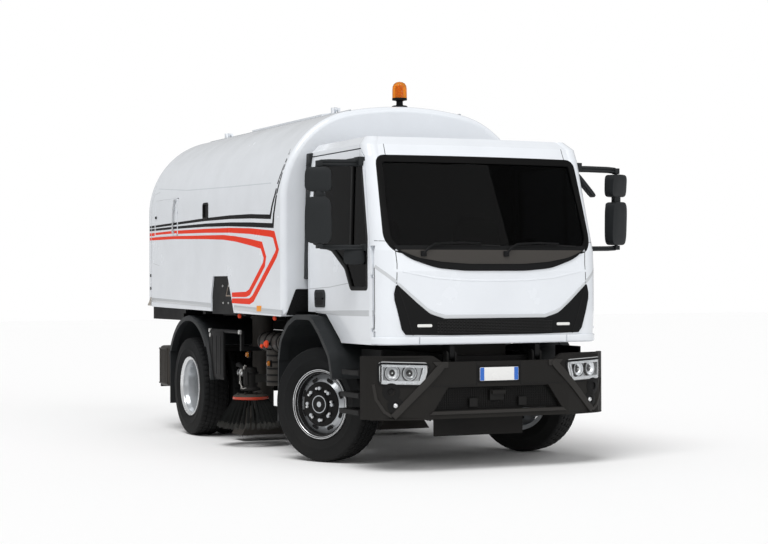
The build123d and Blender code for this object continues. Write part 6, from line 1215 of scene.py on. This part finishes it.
# ======== Entry steps ========
# Pressed and punched black treads with raised teeth against slipping, and a plate along each outer edge.
paint(trim_black, "steps")
for sign, side in SIDES:
    teeth = []
    for top, front, rear in ((830, -1035, -690), (645, -1035, -660), (505, -1035, -630)):
        ys = [FRONT_AXLE + front + 28 + k * 30 for k in range(int((rear - front - 40) / 30))]
        teeth += [(block, (sign * (975 + row * 36), y, top + 2), (16, 12, 6)) for y in ys for row in range(5)]
        teeth.append((block, (sign * 1148, FRONT_AXLE + (front + rear) / 2, top - 20), (8, rear - front - 16, 30)))
    new_piece(f"step_teeth_{side}", teeth, trim_black, "chassis", "black_plastic")

# ======== Service boxes, air cleaner and suction gear ========
# Ribbed moulded bins behind the rear wheels and a moulded suction duct; the air cleaner and its canister are held by
# steel bands.
service_brown = make_finish("service_brown", moulded, (0.04, 0.036, 0.032), specular=0.2)
paint(service_brown, "service_boxes suction_gear")
ribs, bands = [], []
for s in (-1, 1):
    ribs += [(block, (s * 1242, REAR_AXLE + 712 + k * 46, 675), (8, 18, 350)) for k in range(6)]
    ribs += [(block, (s * 1242, REAR_AXLE + 830, z), (10, 270, 16)) for z in (858, 492)]
for y in (900, 1040, 1200, 1350):
    hoop = [(90, -14), (96, -12), (96, 12), (90, 14)]
    bands.append((turned, hoop, 48, lengthways(-1030, FRONT_AXLE + y, 1000), True))
for z in (640, 700, 760, 820, 880):
    hoop = [(95, z - 8), (100, z - 6), (100, z + 6), (95, z + 8)]
    bands.append((turned, hoop, 48, Matrix.Translation((-1030, FRONT_AXLE + 1120, 0)) @ UPRIGHT, True))
new_piece("bin_ribs", ribs, service_brown, "chassis", "service_brown", 3)
new_piece("air_cleaner_bands", bands, trim_black, "chassis", "service_brown")

# ======== Side lamps and red caps ========
# Amber plastic lamps mark the side for night work; red moulded caps close the filler and the filters.
cap_red = make_finish("cap_red", moulded, (0.72, 0.075, 0.03), specular=0.1)
amber_profile = [(0.5, 16), (18, 14), (24, 6), (25, 0), (25, -6)]
ambers, reds, holders = [], [], []
for sign in (-1, 1):
    for y, z, x in ((924, 814, 1186), (1620, 870, 1136)):
        ambers.append((turned, amber_profile, 24, outwards(sign, (sign * x, FRONT_AXLE + y, z))))
        holders.append((block, (sign * (x - 14), FRONT_AXLE + y, z), (20, 60, 60)))
    for y, z, x, r in ((1672, 1238, 1196, 22), (742, 1232, 1196, 22), (1076, 987, 1150, 34), (1200, 965, 1150, 20)):
        cap = [(0.5, r * 0.7), (r * 0.6, r * 0.6), (r, 4), (r, -10)]
        reds.append((turned, cap, 24, outwards(sign, (sign * x, FRONT_AXLE + y, z))))
        holders.append((block, (sign * (x - 60), FRONT_AXLE + y, z), (110, 26, 26)))
new_piece("side_amber_lamps", ambers, amber_lens, "chassis", "amber_lens")
new_piece("side_red_caps", reds, cap_red, "chassis", "lamp_lens")
new_piece("side_lamp_holders", holders, trim_black, "chassis", "black_plastic")

# ======== Beacon ========
# A rotating beacon: an amber dome with moulded flutes over an orange core, on a black base and stalk.
dome_profile = [(0.5, 3410), (30, 3404), (52, 3390), (64, 3366), (67, 3340), (68, 3262), (68, 3254)]
core_profile = [(0.5, 3372), (26, 3366), (30, 3340), (30, 3262), (0.5, 3260)]
foot_profile = [
    (0.5, 3166), (74, 3166), (74, 3178), (66, 3186), (32, 3192), (30, 3226), (44, 3234), (69, 3238), (69, 3256),
    (60, 3258), (0.5, 3258),
]


def flute(radius, along, step):
    return radius - (2.5 if step % 4 == 0 and along > 3256 and radius > 40 else 0)


beacon_orange = make_finish("beacon_orange", moulded, (0.6, 0.12, 0.01), specular=0.3)
for name, shape, finish, slot, cad_beacon in (
    ("dome", (turned, dome_profile, 64, UPRIGHT, False, flute), amber_lens, "amber_lens", "beacon"),
    ("core", (turned, core_profile, 32, UPRIGHT), beacon_orange, "amber_lens", None),
    ("foot", (turned, foot_profile, 64, UPRIGHT), trim_black, "black_plastic", None),
):
    place = Matrix.Translation((0, FRONT_AXLE + 610, 0))
    new_piece(f"beacon_{name}", [shape], finish, "hopper", slot, place=place, replaces=cad_beacon)

# ======== Seats ========
# Sprung cab seats: foam cushions in woven cloth with a sewn centre panel and a piped edge, on a moulded base.
cloth = surface_group("woven_cloth", "noise", 700, 0.0008, (0.85, 0.97), 0.1, 0.0)
seat_cloth = make_finish("seat_cloth", cloth, (0.035, 0.037, 0.042), specular=0.15)
seat_panel = make_finish("seat_panel_cloth", cloth, (0.06, 0.066, 0.078), specular=0.15)
dash_plastic = make_finish("dash_plastic", moulded, (0.05, 0.052, 0.055), specular=0.3)


def cushion(name, centre, size, lean, finish, replaces=None):
    """A crowned pad, its sides drawn in between the corners, with two sewn channels along it."""
    form = bmesh.new()
    bmesh.ops.create_cube(form, size=2.0)
    bmesh.ops.subdivide_edges(form, edges=form.edges[:], cuts=15, use_grid_fill=True)
    for vert in form.verts:
        x, y, z = vert.co
        ring = max(abs(x), abs(y))
        soft = ring / ((x**4 + y**4) ** 0.25 or 1)
        x, y = x * soft, y * soft
        drawn_in = 1 - 0.03 * (1 - min(abs(x), abs(y)) ** 2) * (ring > 0.95)
        drawn_in *= 1 - 0.06 * abs(z) ** 6
        channel = 0.1 * math.exp(-(((abs(x) - 0.52) / 0.05) ** 2))
        channel += 0.06 * math.exp(-(((y - 0.1) / 0.05) ** 2)) * (abs(x) < 0.52)
        z = z * (1 - 0.55 * ring**6 if z > 0 else 1.0) - (channel if z > 0.2 else 0)
        vert.co = Vector((x * drawn_in * size[0], y * drawn_in * size[1], z * size[2])) / 2
    place = Matrix.Translation(centre) @ Matrix.Rotation(math.radians(lean), 4, "X")
    piece = new_piece(name, form, finish, "cab", "seat_fabric", place=place, crease=70, replaces=replaces)
    smooth = piece.modifiers.new("subdivision", "SUBSURF")
    smooth.levels = smooth.render_levels = 1


for x, side, cad_seats in ((-500, "right", None), (500, "left", "seats")):
    y = FRONT_AXLE
    cushion(f"seat_cushion_{side}", (x, y - 235, 1482), (490, 470, 120), 3, seat_cloth, cad_seats)
    cushion(f"seat_back_{side}", (x, y + 62, 1815), (470, 600, 130), 98, seat_cloth)
    cushion(f"seat_headrest_{side}", (x, y + 108, 2085), (280, 120, 90), 98, seat_panel)
    base = [(block, (x, y - 230, 1382), (400, 400, 84)), (block, (x, y + 118, 1800), (380, 24, 560))]
    new_piece(f"seat_base_{side}", base, dash_plastic, "cab", "dash_plastic", 16, 3)

# ======== Instrument panel ========
# A soft-skinned dashboard with a hooded dial cluster before the driver, a middle stack and air vents.
paint(dash_plastic, "dashboard")
hood = [
    (block, (500, FRONT_AXLE - 950, 1806), (360, 180, 46)),
    (block, (0, FRONT_AXLE - 862, 1640), (320, 30, 210)),
    (block, (-500, FRONT_AXLE - 858, 1650), (420, 20, 110)),
]
vents = [
    (block, (x, FRONT_AXLE - 856, 1672 + k * 14), (110, 8, 5)) for x in (-760, -230, 230, 760) for k in range(4)
]
new_piece("dial_hood", hood, dash_plastic, "cab", "dash_plastic", 14, 3)
new_piece("air_vents", vents, seam_black, "cab", "dash_plastic")

# ======== Bounds ===========
# The box round every piece that is shown, the floor left out.
low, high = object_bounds()
